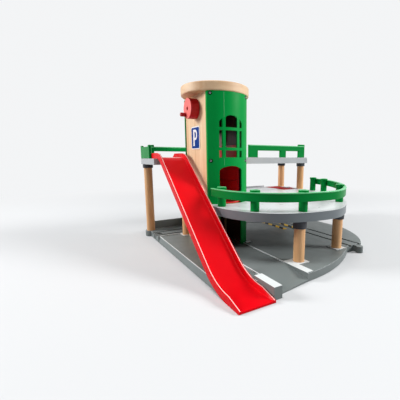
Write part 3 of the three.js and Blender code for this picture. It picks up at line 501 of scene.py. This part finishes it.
def cut_out(bm, tools):
    """A solid with the shapes of the tools cut out of it."""
    def stand_in(each):
        mesh = bpy.data.meshes.new("tool")
        each.to_mesh(mesh)
        each.free()
        piece = bpy.data.objects.new("tool", mesh)
        bpy.context.scene.collection.objects.link(piece)
        return piece

    body = stand_in(bm)
    cutters = [stand_in(each) for each in tools]
    for cutter in cutters:
        step = body.modifiers.new("cut", "BOOLEAN")
        step.operation, step.object, step.solver = "DIFFERENCE", cutter, "EXACT"
    bpy.context.view_layer.update()
    seen_body = body.evaluated_get(bpy.context.evaluated_depsgraph_get())
    done = bpy.data.meshes.new_from_object(seen_body)
    out = bmesh.new()
    out.from_mesh(done)
    for piece in (body, *cutters):
        old = piece.data
        bpy.data.objects.remove(piece)
        bpy.data.meshes.remove(old)
    bpy.data.meshes.remove(done)
    bmesh.ops.remove_doubles(out, verts=out.verts, dist=WELD_WITHIN)
    bmesh.ops.dissolve_limit(out, angle_limit=LEVEL_WITHIN, verts=out.verts, edges=out.edges)
    return out


FRONT_RADIUS, FRONT_WALL, BOARD_HALF = 62, 3.5, 40
MID_LEVEL, UPPER_LEVEL, TOWER_TOP = 92, 172, 284
front_green = moulded_plastic(
    "front_green", (0, 148, 64), rough=0.34, mottle=0.05, grain=0.03, gloss=0.07,
)
inner_radius = FRONT_RADIUS - FRONT_WALL
outer_half = math.degrees(math.asin(BOARD_HALF / FRONT_RADIUS))
inner_half = math.degrees(math.asin(BOARD_HALF / inner_radius))
FRONT_MIDDLE, FRONT_COUNT = -90, 48
front_outline = bow(
    0, 0, FRONT_RADIUS, FRONT_RADIUS,
    FRONT_MIDDLE - outer_half, FRONT_MIDDLE + outer_half, FRONT_COUNT,
)
front_outline += bow(
    0, 0, inner_radius, inner_radius,
    FRONT_MIDDLE + inner_half, FRONT_MIDDLE - inner_half, FRONT_COUNT,
)
front_shell = plate(front_outline, BASE_TOP, TOWER_TOP)

# Each row of panes has its sill, its head and how far its middle pane arches.
PANE_ROWS = ((174, 186, 0), (191, 220, 0), (225, 240, 5.5))
PANE_HALF, SIDE_PANE_NEAR, SIDE_PANE_FAR = 11.5, 17, 22.5
DOOR_HALF, DOOR_SIDE_HEIGHT, DOOR_ARCH, DOOR_CLEARANCE = 22.5, 58, 9, 0.3
CUT_FRONT, CUT_BACK = -70, -30


def front_hole(points):
    return plate(points, CUT_FRONT, CUT_BACK, "xz")


front_holes = []
for sill, head, arch in PANE_ROWS:
    crown = [(PANE_HALF, head), (-PANE_HALF, head)]
    if arch:
        crown = bow(0, head, PANE_HALF, arch, 0, 180, count=16)
    front_holes.append(front_hole([(-PANE_HALF, sill), (PANE_HALF, sill), *crown]))
    front_holes.append(front_hole([
        (SIDE_PANE_NEAR, sill), (SIDE_PANE_FAR, sill),
        (SIDE_PANE_FAR, head - arch), (SIDE_PANE_NEAR, head),
    ]))
    front_holes.append(front_hole([
        (-SIDE_PANE_FAR, sill), (-SIDE_PANE_NEAR, sill),
        (-SIDE_PANE_NEAR, head), (-SIDE_PANE_FAR, head - arch),
    ]))
for sill in (MID_LEVEL, BASE_TOP - DOOR_CLEARANCE):
    crown = bow(0, sill + DOOR_SIDE_HEIGHT, DOOR_HALF, DOOR_ARCH, 0, 180, count=24)
    front_holes.append(front_hole([(-DOOR_HALF, sill), (DOOR_HALF, sill), *crown]))

SCREW_X, SCREW_SEAT_RADIUS, SCREW_SEAT_DEPTH = 35.5, 3.6, 1.8
SCREW_TURN = math.asin(SCREW_X / FRONT_RADIUS)
SCREW_PLACES = {
    "front_screw_upper_left": (-1, 280),
    "front_screw_upper_right": (1, 280),
    "front_screw_lower_left": (-1, 168),
    "front_screw_lower_right": (1, 168),
}


def turned_to_screw(bm, side):
    """Turns what is made at the middle of the front round to the left or right screws."""
    turn = Matrix.Rotation(side * SCREW_TURN, 3, "Z")
    bmesh.ops.rotate(bm, cent=(0, 0, 0), matrix=turn, verts=bm.verts)
    return bm


seat_back = SCREW_SEAT_DEPTH - FRONT_RADIUS
for side, height in SCREW_PLACES.values():
    seat = rod(SCREW_SEAT_RADIUS, (0, CUT_FRONT, height), (0, seat_back, height), sides=28)
    front_holes.append(turned_to_screw(seat, side))
front_shell = to_frame(cut_out(front_shell, front_holes))
settle(
    front_shell, "tower_front_shell", "garage", [front_green],
    ("tower_front",), edge=0.45, corner=30,
)

# The rib's pale green is a painted highlight along the crease in the shell.
front_rib_highlight_green = moulded_plastic(
    "front_rib_highlight_green", (84, 178, 116), rough=0.3, mottle=0.03, grain=0.02,
)
RIB_X, RIB_HALF, RIB_PROUD, RIB_SUNK = -14.3, 0.35, 0.25, 0.5
RIBS = {"upper": (241.5, 283.8), "lower": (160.5, 172.5)}
rib_face = -math.sqrt(FRONT_RADIUS**2 - RIB_X**2)
for label, (low, high) in RIBS.items():
    rib = brick(
        (RIB_X - RIB_HALF, rib_face - RIB_PROUD, low),
        (RIB_X + RIB_HALF, rib_face + RIB_SUNK, high),
    )
    settle(
        to_frame(rib), "front_rib_" + label, "garage", [front_rib_highlight_green],
        edge=0.12,
    )


# Front screws
# Four small dark plated steel heads with hexagon sockets hold the shell to the boards.
# Each is turned to a blunt cone and sits in a round seat in the shell.
def plated_steel(name, colour=(0.42, 0.43, 0.44), rough=0.3):
    """Plated steel of a linear colour, with small uneven marks in tone and gloss."""
    finish, tree, skin = new_finish(name)
    place = add_step(tree, "TexCoord").outputs["Object"]
    marks = patches(tree, place, scale=420, detail=4)
    feed(tree, skin, {
        "Base Color": tones(tree, marks, lightened(colour, 0.85), lightened(colour, 1.12)),
        "Roughness": span(tree, marks, rough * 0.7, rough * 1.5),
        "Metallic": 1,
    })
    return finish


HEAD_RADIUS, HEAD_CROWN_RADIUS, HEAD_FOOT_Y, HEAD_CROWN_Y = 2.7, 1.7, -60.8, -62.6
SOCKET_RADIUS, SOCKET_MOUTH_Y, SOCKET_FLOOR_Y = 1.2, -63.5, -61.6
screw_steel = plated_steel("screw_steel", (0.16, 0.16, 0.17), rough=0.16)
for name, (side, height) in SCREW_PLACES.items():
    foot, crown = (0, HEAD_FOOT_Y, height), (0, HEAD_CROWN_Y, height)
    head = rod(HEAD_RADIUS, foot, crown, sides=28, far_radius=HEAD_CROWN_RADIUS)
    mouth, floor_end = (0, SOCKET_MOUTH_Y, height), (0, SOCKET_FLOOR_Y, height)
    socket = rod(SOCKET_RADIUS, mouth, floor_end, sides=6)
    head = to_frame(turned_to_screw(cut_out(head, [socket]), side))
    settle(head, name + "_head", "garage", [screw_steel], (name,), edge=0.2)


# Roof
# A thick turned disc of laminated beech with softly rounded rims, glued down on the boards.
# Its edge shows the layers' end grain as broad warm bands, and its top the grain along X.
ROOF_RADIUS, ROOF_TOP, ROOF_SIDES = 63, 300, 96
ROOF_LIGHT, ROOF_DARK = (230, 198, 160), (200, 156, 116)
roof_beech = beech(
    "roof_beech", along="x", light=ROOF_LIGHT, dark=ROOF_DARK, shift=(0.2, 0.4, 0.3), figure=48,
)
roof = bmesh.new()
profile = [(0, TOWER_TOP), (ROOF_RADIUS, TOWER_TOP), (ROOF_RADIUS, ROOF_TOP), (0, ROOF_TOP)]
rim = [roof.verts.new((r, 0, z)) for r, z in profile]
line = [roof.edges.new(pair) for pair in zip(rim, rim[1:])]
bmesh.ops.spin(
    roof, geom=[*rim, *line], cent=(0, 0, 0), axis=(0, 0, 1), angle=math.tau,
    steps=ROOF_SIDES, use_merge=True,
)
bmesh.ops.remove_doubles(roof, verts=roof.verts, dist=WELD_WITHIN)
settle(
    to_frame(roof), "roof_disc", "garage", [roof_beech], ("roof",),
    edge=2.2, steps=4, corner=40,
)


# Parking sign
# A thin printed plate with rounded corners, glued to the left board: a white border,
# a blue field and a plain white letter for parking.
sign_white = moulded_plastic("sign_white", (238, 240, 242), rough=0.35, mottle=0.02, grain=0.01)
sign_blue = moulded_plastic(
    "sign_blue", (0, 54, 134), rough=0.4, mottle=0.05, grain=0.01, gloss=0.04,
)


def rounded(u0, v0, u1, v1, corner):
    """The outline of a rectangle with rounded corners."""
    near_u, far_u, near_v, far_v = u0 + corner, u1 - corner, v0 + corner, v1 - corner
    centres = [(far_u, far_v), (near_u, far_v), (near_u, near_v), (far_u, near_v)]
    return [
        point for turn, (u, v) in enumerate(centres)
        for point in bow(u, v, corner, corner, 90 * turn, 90 * turn + 90, count=6)
    ]


# The field is let a little into the board, and the letter into the field.
BOARD_OUTLINE, BOARD_FACE_X, BOARD_SEAT_X = (-17.5, 189, 20.5, 230, 4), -41.1, -40.3
FIELD_OUTLINE, FIELD_FACE_X, FIELD_SEAT_X = (-15.7, 190.8, 18.7, 228.2, 2.8), -41.28, -41.05
LETTER_FACE_X, LETTER_SEAT_X = -41.45, -41.2
EYE_FROM_X, EYE_TO_X = -43, -40
board = to_frame(plate(rounded(*BOARD_OUTLINE), BOARD_FACE_X, BOARD_SEAT_X, "yz"))
settle(board, "sign_board", "garage", [sign_white], ("sign_plate",), edge=0.15)
field = to_frame(plate(rounded(*FIELD_OUTLINE), FIELD_FACE_X, FIELD_SEAT_X, "yz"))
settle(field, "sign_field", "garage", [sign_blue], edge=0.05)

STEM_BACK, STEM_FRONT, LETTER_FOOT, LETTER_TOP = 10.4, 4.4, 195, 224.5
BOWL_Y, BOWL_REACH, BOWL_HALF, STROKE, EYE_REACH = 1.2, 8.4, 9.4, 4.2, 3.8
bowl_z, bowl_foot, eye_half = LETTER_TOP - BOWL_HALF, LETTER_TOP - 2 * BOWL_HALF, BOWL_HALF - STROKE
letter = plate(
    [
        (STEM_BACK, LETTER_FOOT), (STEM_BACK, LETTER_TOP), (BOWL_Y, LETTER_TOP),
        *bow(BOWL_Y, bowl_z, BOWL_REACH, BOWL_HALF, 90, 270, count=20),
        (STEM_FRONT, bowl_foot), (STEM_FRONT, LETTER_FOOT),
    ],
    LETTER_FACE_X, LETTER_SEAT_X, "yz",
)
eye = plate(
    [
        (STEM_FRONT, LETTER_TOP - STROKE), (BOWL_Y, LETTER_TOP - STROKE),
        *bow(BOWL_Y, bowl_z, EYE_REACH, eye_half, 90, 270, count=16),
        (STEM_FRONT, bowl_foot + STROKE),
    ],
    EYE_FROM_X, EYE_TO_X, "yz",
)
letter = to_frame(cut_out(letter, [eye]))
settle(letter, "sign_letter", "garage", [sign_white], edge=0.04)


# Crank
# A thick red moulded wheel with a dimpled hub and a turned knob, on a steel axle.
# The axle ends in a grooved pulley that drives the lift's cord, and a second pulley turns on
# a steel pin at the foot of the tower.
crank_red = moulded_plastic("crank_red", (190, 24, 30), rough=0.32, mottle=0.05, grain=0.03)
# The outer face's pale red is a painted highlight.
crank_face_highlight_red = moulded_plastic(
    "crank_face_highlight_red", (240, 116, 110), rough=0.45, mottle=0.04, grain=0.05,
)
CRANK_Y, CRANK_Z, CRANK_FACE, CRANK_BACK, CRANK_RADIUS = -2.5, 260, -57, -41, 17.75
DIMPLE_RADIUS, DIMPLE_DEPTH, PAST_FACE = 3.4, 2.6, 2
AXLE_HOLE_RADIUS, HUB_DEPTH = 3.3, 6
KNOB_Y, KNOB_Z, KNOB_RADIUS, KNOB_REACH, KNOB_SEAT, KNOB_CLEARANCE = 6, 250, 3.5, 10, 8, 0.3


def along_crank(radius, y, z, start, end, sides):
    """A round bar along the crank's axle, placed from the wheel's face inwards."""
    return rod(radius, (CRANK_FACE + start, y, z), (CRANK_FACE + end, y, z), sides)


past_back = CRANK_BACK - CRANK_FACE + PAST_FACE
knob_hole_radius = KNOB_RADIUS + KNOB_CLEARANCE
hub_back, hub_face = (CRANK_BACK, CRANK_Y, CRANK_Z), (CRANK_FACE, CRANK_Y, CRANK_Z)
wheel = rod(CRANK_RADIUS, hub_back, hub_face, sides=64)
wheel = cut_out(wheel, [
    along_crank(DIMPLE_RADIUS, CRANK_Y, CRANK_Z, -PAST_FACE, DIMPLE_DEPTH, sides=32),
    along_crank(AXLE_HOLE_RADIUS, CRANK_Y, CRANK_Z, HUB_DEPTH, past_back, sides=24),
    along_crank(knob_hole_radius, KNOB_Y, KNOB_Z, -PAST_FACE, KNOB_SEAT, sides=32),
])
crank_face_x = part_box("crank_wheel")[0].x
FACE_OUTWARD, HIGHLIGHT_FACE_DEPTH = -0.8, 0.0012


def crank_tone(face):
    """A painted highlight: the pale finish on the wheel's outer face."""
    outer = face.calc_center_median().x < crank_face_x + HIGHLIGHT_FACE_DEPTH
    return 1 if face.normal.x < FACE_OUTWARD and outer else 0


settle(
    to_frame(wheel), "crank_disc", "crank", [crank_red, crank_face_highlight_red],
    ("crank_wheel",), crank_tone, edge=0.9, steps=4,
)
crank_knob_red = moulded_plastic(
    "crank_knob_red", (168, 20, 28), rough=0.3, mottle=0.05, grain=0.03,
)
knob_foot = KNOB_SEAT - KNOB_CLEARANCE
knob = along_crank(KNOB_RADIUS, KNOB_Y, KNOB_Z, knob_foot, -KNOB_REACH, sides=36)
settle(
    to_frame(knob), "crank_handle", "crank", [crank_knob_red], ("crank_knob",),
    edge=1.3, steps=4,
)
axle_steel = plated_steel("axle_steel")
dress("crank_axle", [axle_steel], edge=0.3)
pulley_red = moulded_plastic("pulley_red", (204, 24, 30), rough=0.35)
dress("drive_pulley", [pulley_red], edge=0.2)
dress("lower_pulley", [pulley_red], edge=0.2)
dress("pulley_pin", [axle_steel], edge=0.2)


# Lift cord
# An endless braided cord, white polyester about 1.6 mm thick, taut round both pulleys.
# Its strands show as fine slanting ribs.
CORD_DARK, CORD_LIGHT, STRANDS_PER_UNIT, STRAND_SLANT = (196, 190, 176), (240, 237, 228), 260, 0.5
cord_white, tree, skin = new_finish("cord_white")
place = add_step(tree, "TexCoord").outputs["Object"]
turn_feeds = {"Vector": place, "Rotation": (STRAND_SLANT, STRAND_SLANT, 0)}
turn = add_step(tree, "Mapping", turn_feeds)
strand_feeds = {"Vector": turn.outputs["Vector"], "Scale": STRANDS_PER_UNIT, "Distortion": 0.6}
strand = add_step(tree, "TexWave", strand_feeds, bands_direction="Z").outputs["Fac"]
feed(tree, skin, {
    "Base Color": tones(tree, strand, rgb(*CORD_DARK), rgb(*CORD_LIGHT)),
    "Roughness": 0.85,
    "Normal": bumps(tree, strand, 0.6, depth=0.0002),
})
dress("lift_cord", [cord_white], edge=0)


# Lift car
# A red moulded cage: a floor with a low lip between two tall walls, open at front and back.
# Each wall has a rolled top edge, coloured paler red as a painted highlight, and a stiffening
# ridge inside, and slides on wooden guide rails.
lift_red = moulded_plastic("lift_red", (216, 38, 44), rough=0.3, mottle=0.05, grain=0.03)
# The bead's pale red is a painted highlight.
lift_bead_highlight_red = moulded_plastic(
    "lift_bead_highlight_red", (252, 120, 122), rough=0.3, mottle=0.05, grain=0.03, gloss=0.5,
)
dress("lift_car", [lift_red], edge=0.5, steps=3)
CAR_FRONT, CAR_BACK, WALL_INNER, WALL_OVERLAP = -45.5, 40.5, 22, 0.5
# Foot, top, corner radius, how far it stands in from the wall, finish, rounding and its steps.
WALL_BARS = {
    "bead": (191.5, 196.8, 2.4, 1.8, lift_bead_highlight_red, 0.8, 3),
    "ridge": (128.8, 131.2, 1, 1, lift_red, 0.4, 2),
}
for label, side in (("left", -1), ("right", 1)):
    for kind, (low, high, corner, proud, finish, edge, steps) in WALL_BARS.items():
        ends = sorted(side * (WALL_INNER + offset) for offset in (-proud, WALL_OVERLAP))
        bar = to_frame(plate(rounded(CAR_FRONT, low, CAR_BACK, high, corner), *ends, "yz"))
        name = f"lift_{kind}_{label}"
        settle(bar, name, "lift", [finish], edge=edge, steps=steps)
for row in ("lower", "upper"):
    for side in ("left", "right"):
        dress(f"lift_shoe_{row}_{side}", [lift_red])
guide_beech = beech("guide_beech", shift=(0.9, 0.1, 0.2))
dress("guide_rail_left", [guide_beech])
dress("guide_rail_right", [guide_beech])
dress("cord_clamp", [axle_steel], edge=0.3)


# Ramp
# One red moulding with a raised rail down each side, bent over the deck's edge and out to the
# floor, and held by two pegs in the upper deck. The rails' crests and the line of the upper
# bend are coloured pale as a painted highlight.
ramp_red = moulded_plastic(
    "ramp_red", (216, 6, 20), rough=0.34, mottle=0.04, grain=0.02, gloss=0.08,
)
# The crests' pale red is a painted highlight.
ramp_crest_highlight = moulded_plastic("ramp_crest_highlight", (255, 212, 206), rough=0.3, mottle=0.03, grain=0.02)
RAMP_LEFT, RAMP_RIGHT, RAMP_PLATE, RAIL_HIGH = -101, -48, 2.5, 8
DECK_EDGE, TOP_BEND, FOOT_BEND, FOOT_Y, TIP_Y, RAMP_BACK = 49.7, 40, 100, -222, -248, 100
RAIL_START, RAIL_CLIMB, CLIMB_STEP, CLIMB_COUNT, RAIL_TIP = 1.2, 1.7, 2, 5, 1.1
SEAT_STATIONS, TOP_BEND_COUNT, FOOT_BEND_COUNT, TIP_COUNT = (85, 70, 56), 18, 24, 8
top_z = UPPER_LEVEL + RAMP_PLATE
top_centre, foot_centre = top_z - TOP_BEND, RAMP_PLATE + FOOT_BEND
across_y, down_z = DECK_EDGE - FOOT_Y, foot_centre - top_centre
slope = math.asin((TOP_BEND + FOOT_BEND) / math.hypot(across_y, down_z))
slope -= math.atan2(down_z, across_y)


def ramp_section(y, z, lean, height):
    """The ramp's cross-section at a place on its path, square to the path: from each edge the
    rail's outer wall, its rounded crest, its inner side and the hollow down to the plate."""
    out, into = Vector((0, -math.sin(lean), math.cos(lean))), Vector((0, y, z))
    half = [
        (0, -RAMP_PLATE), (0, height - 1.0), (0.3, height - 0.3), (1.3, height),
        (2.3, height), (3.3, height - 0.3), (3.8, height - 1.1),
        (4.2, min(1.6, height * 0.6)), (4.7, min(0.5, height * 0.3)), (6.0, 0),
    ]
    width = RAMP_RIGHT - RAMP_LEFT
    across = half + [(width - u, h) for u, h in reversed(half)]
    return [Vector((RAMP_LEFT + u, 0, 0)) + into + out * h for u, h in across]


stations = [
    (RAMP_BACK - CLIMB_STEP * i, top_z, 0.0, min(RAIL_HIGH, RAIL_START + RAIL_CLIMB * i))
    for i in range(CLIMB_COUNT)
]
stations += [(y, top_z, 0.0, RAIL_HIGH) for y in SEAT_STATIONS]
stations += [
    (DECK_EDGE - TOP_BEND * math.sin(a), top_centre + TOP_BEND * math.cos(a), a, RAIL_HIGH)
    for a in spread(0, slope, TOP_BEND_COUNT)
]
stations += [
    (FOOT_Y + FOOT_BEND * math.sin(a), foot_centre - FOOT_BEND * math.cos(a), a, RAIL_HIGH)
    for a in spread(slope, 0, FOOT_BEND_COUNT)
]
rail_fall = (RAIL_HIGH - RAIL_TIP) / (FOOT_Y - TIP_Y)
stations += [
    (y, RAMP_PLATE, 0.0, RAIL_HIGH - (FOOT_Y - y) * rail_fall)
    for y in spread(FOOT_Y, TIP_Y, TIP_COUNT)[1:]
]
ramp = bmesh.new()
section = ramp_section(*stations[0])
first_end = end_face = ramp.faces.new([ramp.verts.new(p) for p in section])
for station in stations[1:]:
    following = ramp_section(*station)
    drawn = bmesh.ops.extrude_face_region(ramp, geom=[end_face])["geom"]
    for vert in [v for v in drawn if isinstance(v, bmesh.types.BMVert)]:
        nearest = min(range(len(section)), key=lambda i: (vert.co - section[i]).length_squared)
        vert.co = following[nearest]
    if end_face is not first_end:
        bmesh.ops.delete(ramp, geom=[end_face], context="FACES_ONLY")
    end_face = [f for f in drawn if isinstance(f, bmesh.types.BMFace)][0]
    section = following

PEG_RADIUS, PEG_INSET, PEG_Y, PEG_FOOT, PEG_HEAD = 3, 12, 82, 166, 173
for x in (RAMP_LEFT + PEG_INSET, RAMP_RIGHT - PEG_INSET):
    peg = rod(PEG_RADIUS, (x, PEG_Y, PEG_FOOT), (x, PEG_Y, PEG_HEAD), sides=20)
    peg_mesh = bpy.data.meshes.new("peg")
    peg.to_mesh(peg_mesh)
    peg.free()
    ramp.from_mesh(peg_mesh)
    bpy.data.meshes.remove(peg_mesh)

CREST_FROM, CREST_TO, RAIL_INSIDE, BEND_FROM_Y, BEND_TO_Y, RAMP_UP = 1.3, 2.3, 6, 43, 47, 0.2


def ramp_tone(face):
    """A painted highlight: the pale finish on the crests and on a band across the upper bend."""
    centre = face.calc_center_median()
    x, y = centre.x / MM - TOWER_X, centre.y / MM - TOWER_Y
    inset = min(x - RAMP_LEFT, RAMP_RIGHT - x)
    on_crest = CREST_FROM < inset < CREST_TO
    on_bend = inset > RAIL_INSIDE and BEND_FROM_Y < y < BEND_TO_Y
    return 1 if face.normal.z > RAMP_UP and (on_crest or on_bend) else 0


settle(
    to_frame(ramp), "ramp_slide", "garage", [ramp_red, ramp_crest_highlight], ("ramp",),
    ramp_tone,
)


# Mid deck
# One shallow grey moulding with a curved front edge. Its top is coloured paler as painted
# light, its rim darker and the post collars and ribs below darker still as painted shade. A red
# trapdoor and its thumb lever turn on steel pins in its right end.
# The rim's darker grey and the top's paler grey are shaded and lit copies of one plastic.
deck_rim_shaded_grey = moulded_plastic(
    "deck_rim_shaded_grey", (112, 119, 123), rough=0.36, mottle=0.05, grain=0.08, gloss=0.2,
)
deck_top_lit_grey = moulded_plastic(
    "deck_top_lit_grey", (212, 214, 217), rough=0.3, mottle=0.03, grain=0.06, gloss=0.4,
)
# The collars' and ribs' dark grey is painted shade.
collar_shade_grey = moulded_plastic(
    "collar_shade_grey", (72, 74, 78), rough=0.4, mottle=0.05, grain=0.08, gloss=0.1,
)
MID_THICK, COLLAR_DROP = 14, 0.2
TOP_UP, TOP_SINK, CURB_RISE = 0.6, 0.2, 0.5
mid_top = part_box("mid_rail")[0].z


def hangs_below(face, underside):
    """Whether the face reaches below a deck's plate, as the collars' and ribs' faces do."""
    return min(v.co.z for v in face.verts) < underside - COLLAR_DROP * MM


def mid_deck_tone(face):
    """Painted shade, dark, on what hangs below the deck; painted light, pale, on its top; pale on
    its curb; else the rim's grey, darker as painted shade.
    """
    if hangs_below(face, mid_top - MID_THICK * MM):
        return 2
    rise, up = face.calc_center_median().z - mid_top, face.normal.z
    return 1 if rise > CURB_RISE * MM or (up > TOP_UP and rise > -TOP_SINK * MM) else 0


deck_finishes = [deck_rim_shaded_grey, deck_top_lit_grey, collar_shade_grey]
dress("mid_deck", deck_finishes, mid_deck_tone, edge=0.6, steps=3)
trapdoor_red = moulded_plastic(
    "trapdoor_red", (172, 14, 24), rough=0.6, mottle=0.05, grain=0.04, gloss=0.1,
)
dress("trapdoor", [trapdoor_red])
dress("release_lever", [trapdoor_red], edge=0.5, steps=3)
dress("trapdoor_pin", [axle_steel], edge=0.2)
dress("lever_pin", [axle_steel], edge=0.2)


# Mid deck rail
# A curved green rail moulded in one, clipped to the deck's edge: a bar with a lip along its
# top runs in front of round posts, and each post ends in a dished round cap. The lip and the
# ring round each cap's dish are coloured pale green as a painted highlight.
def bezier(a, b, c, d, count):
    """Points along a curve from a to d that leaves toward b and comes in from c."""
    return [
        tuple(
            (1 - t) ** 3 * p + 3 * t * (1 - t) ** 2 * q + 3 * t * t * (1 - t) * r + t**3 * s
            for p, q, r, s in zip(a, b, c, d)
        )
        for t in spread(0, 1, count)
    ]


RIM_FIRST = ((-43, -60), (-43, -170), (25, -203), (105, -203))
RIM_SECOND = ((105, -203), (165, -203), (294, -75), (294, 20))
rim_line = bezier(*RIM_FIRST, count=60) + bezier(*RIM_SECOND, count=60)[1:]
rim_ways = [0.0]
for p, q in zip(rim_line, rim_line[1:]):
    rim_ways.append(rim_ways[-1] + math.dist(p, q))


def rim_at(share, inset):
    """A place along the deck's rim, moved in from the edge."""
    way = share * rim_ways[-1]
    i = max(k for k in range(len(rim_ways) - 1) if rim_ways[k] <= way)
    (x0, y0), (x1, y1) = rim_line[i], rim_line[i + 1]
    length = rim_ways[i + 1] - rim_ways[i]
    t = (way - rim_ways[i]) / length
    ux, uy = (x1 - x0) / length, (y1 - y0) / length
    return x0 + (x1 - x0) * t - uy * inset, y0 + (y1 - y0) * t + ux * inset


def rim_band(near, far, low, high):
    """A bar along the whole rim, between two distances in from the edge and two heights."""
    shares = spread(0, 1, count=90)
    outer, inner = [rim_at(s, near) for s in shares], [rim_at(s, far) for s in reversed(shares)]
    return plate(outer + inner, low, high)


rail_green = moulded_plastic(
    "rail_green", (0, 126, 54), rough=0.34, mottle=0.05, grain=0.03, gloss=0.06,
)
# The lips' and rings' pale green is a painted highlight.
rail_line_highlight_green = moulded_plastic(
    "rail_line_highlight_green", (96, 190, 128), rough=0.3, mottle=0.03, grain=0.02,
)
RAIL_LOW, RAIL_TOP = MID_LEVEL + 16, MID_LEVEL + 30
BAR_NEAR, BAR_FAR, BAR_DROP = 1.9, 6.9, 0.5
LIP_NEAR, LIP_FAR, LIP_DEPTH = 1.3, 7.3, 1.7
rail_bar = rim_band(BAR_NEAR, BAR_FAR, RAIL_LOW, RAIL_TOP - BAR_DROP)
settle(
    to_frame(rail_bar), "mid_rail_bar", "garage", [rail_green], ("mid_rail",),
    edge=0.6, steps=3, corner=40,
)
rail_lip = rim_band(LIP_NEAR, LIP_FAR, RAIL_TOP - LIP_DEPTH, RAIL_TOP)
settle(
    to_frame(rail_lip), "mid_rail_lip", "garage", [rail_line_highlight_green],
    edge=0.6, steps=3, corner=40,
)

RAIL_POST_SHARES, RAIL_POST_INSET = (0.035, 0.178, 0.332, 0.61, 0.89, 0.985), 12.5
RAIL_POST_RADIUS, RAIL_POST_DROP = 7, 1
CAP_RADIUS, CAP_DROP, CAP_RISE = 8, 1.5, 3
RING_WIDTH, DISH_WALL, DISH_DEPTH, RING_UP, RING_RISE = 2.6, 0.8, 1.5, 0.5, 2.2


def cap_tone(face):
    """A painted highlight: the pale finish on the ring round a cap's dish."""
    high_up = face.calc_center_median().z > (RAIL_TOP + RING_RISE) * MM
    return 1 if face.normal.z > RING_UP and high_up else 0


for number, share in enumerate(RAIL_POST_SHARES, 1):
    x, y = rim_at(share, RAIL_POST_INSET)
    foot, head = (x, y, MID_LEVEL), (x, y, RAIL_TOP - RAIL_POST_DROP)
    post = rod(RAIL_POST_RADIUS, foot, head, sides=36)
    name = f"mid_rail_post_{number}"
    settle(to_frame(post), name, "garage", [rail_green], edge=0.5)
    foot, head = (x, y, RAIL_TOP - CAP_DROP), (x, y, RAIL_TOP + CAP_RISE)
    cap = rod(CAP_RADIUS, foot, head, sides=40)
    top = max(cap.faces, key=lambda f: f.calc_center_median().z)
    bmesh.ops.inset_region(cap, faces=[top], thickness=RING_WIDTH, depth=0)
    bmesh.ops.inset_region(cap, faces=[top], thickness=DISH_WALL, depth=-DISH_DEPTH)
    settle(
        to_frame(cap), f"mid_rail_cap_{number}", "garage",
        [rail_green, rail_line_highlight_green], pick=cap_tone, edge=0.6, steps=3, corner=30,
    )


# Upper deck
# A long light grey moulding behind the tower, on posts, with a collar over each and a thin lip
# along its front edge. Green rails clip along its edges, an end panel closes it at the left,
# and a green frame lines the tower's doorway.
# The rim's grey is a darker, shaded copy of the pale grey that its tops get as painted light.
upper_rim_shaded_grey = moulded_plastic(
    "upper_rim_shaded_grey", (172, 175, 178), rough=0.36, mottle=0.04, grain=0.08, gloss=0.16,
)
UPPER_THICK = 12


def upper_deck_tone(face):
    """Painted shade, dark, on what hangs below the deck; painted light, pale, on all that faces
    up; else the rim's grey, darker as painted shade.
    """
    if hangs_below(face, (UPPER_LEVEL - UPPER_THICK) * MM):
        return 2
    return 1 if face.normal.z > TOP_UP else 0


upper_finishes = [upper_rim_shaded_grey, deck_top_lit_grey, collar_shade_grey]
dress("upper_deck", upper_finishes, upper_deck_tone, edge=0.6, steps=3)
for name in ("upper_rail_right", "upper_rail_left", "upper_end_panel", "door_frame"):
    dress(name, [rail_green], edge=0.9, steps=3)

# Where each rail starts and ends in X, the Y of its front and the Z of its top.
UPPER_RAILS = {
    "right": (112, 286, 51, UPPER_LEVEL + 31.5),
    "left": (-84, 8, 146, UPPER_LEVEL + 26),
}
RAIL_LIP_HALF, RAIL_LIP_SHORT, RAIL_LIP_LOW, RAIL_LIP_HIGH = 0.5, 0.4, 2.3, 0.2
# Each rail's pale lip is a painted highlight.
for label, (start, end, front, top) in UPPER_RAILS.items():
    lip = brick(
        (start + RAIL_LIP_SHORT, front - RAIL_LIP_HALF, top - RAIL_LIP_LOW),
        (end - RAIL_LIP_SHORT, front + RAIL_LIP_HALF, top - RAIL_LIP_HIGH),
    )
    name = "upper_rail_lip_" + label
    settle(to_frame(lip), name, "garage", [rail_line_highlight_green], edge=0.3)
DECK_LIP = ((44, 50.1, UPPER_LEVEL - 0.5), (293.9, 50.9, UPPER_LEVEL + 2.6))
deck_lip = to_frame(brick(*DECK_LIP))
settle(deck_lip, "upper_deck_lip", "garage", [upper_rim_shaded_grey], edge=0.25)


# Posts
# Eight turned beech dowels, sanded smooth and clear lacquered, pressed into round sockets.
# The grain runs along them, and each shows its own figure.
POSTS = {
    "post_front_left": (50, -183, 5, 82),
    "post_front_right": (157, -168, 5, 82),
    "post_tower": (-40, 62.5, 5, 165.5),
    "post_left": (-95, 141, 5, 165.5),
    "post_back_lower": (284, 140, 5, 82),
    "post_right_lower": (284, 62, 5, 82),
    "post_back_upper": (284, 140, 85, 165.5),
    "post_right_upper": (284, 62, 85, 165.5),
}
DOWEL_RADIUS, DOWEL_LIGHT, DOWEL_DARK = 8.75, (228, 180, 130), (203, 148, 98)
FIGURE_STEP = (0.17, 0.29, 0.4)
for number, (name, (x, y, low, high)) in enumerate(POSTS.items()):
    dowel = rod(DOWEL_RADIUS, (x, y, low), (x, y, high), sides=48)
    dowel_beech = beech(
        f"dowel_beech_{number + 1}", light=DOWEL_LIGHT, dark=DOWEL_DARK,
        shift=[step * number for step in FIGURE_STEP], figure=110, rough=0.45,
    )
    settle(
        to_frame(dowel), name + "_dowel", "garage", [dowel_beech], (name,),
        edge=0.8, steps=3,
    )

low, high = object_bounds()
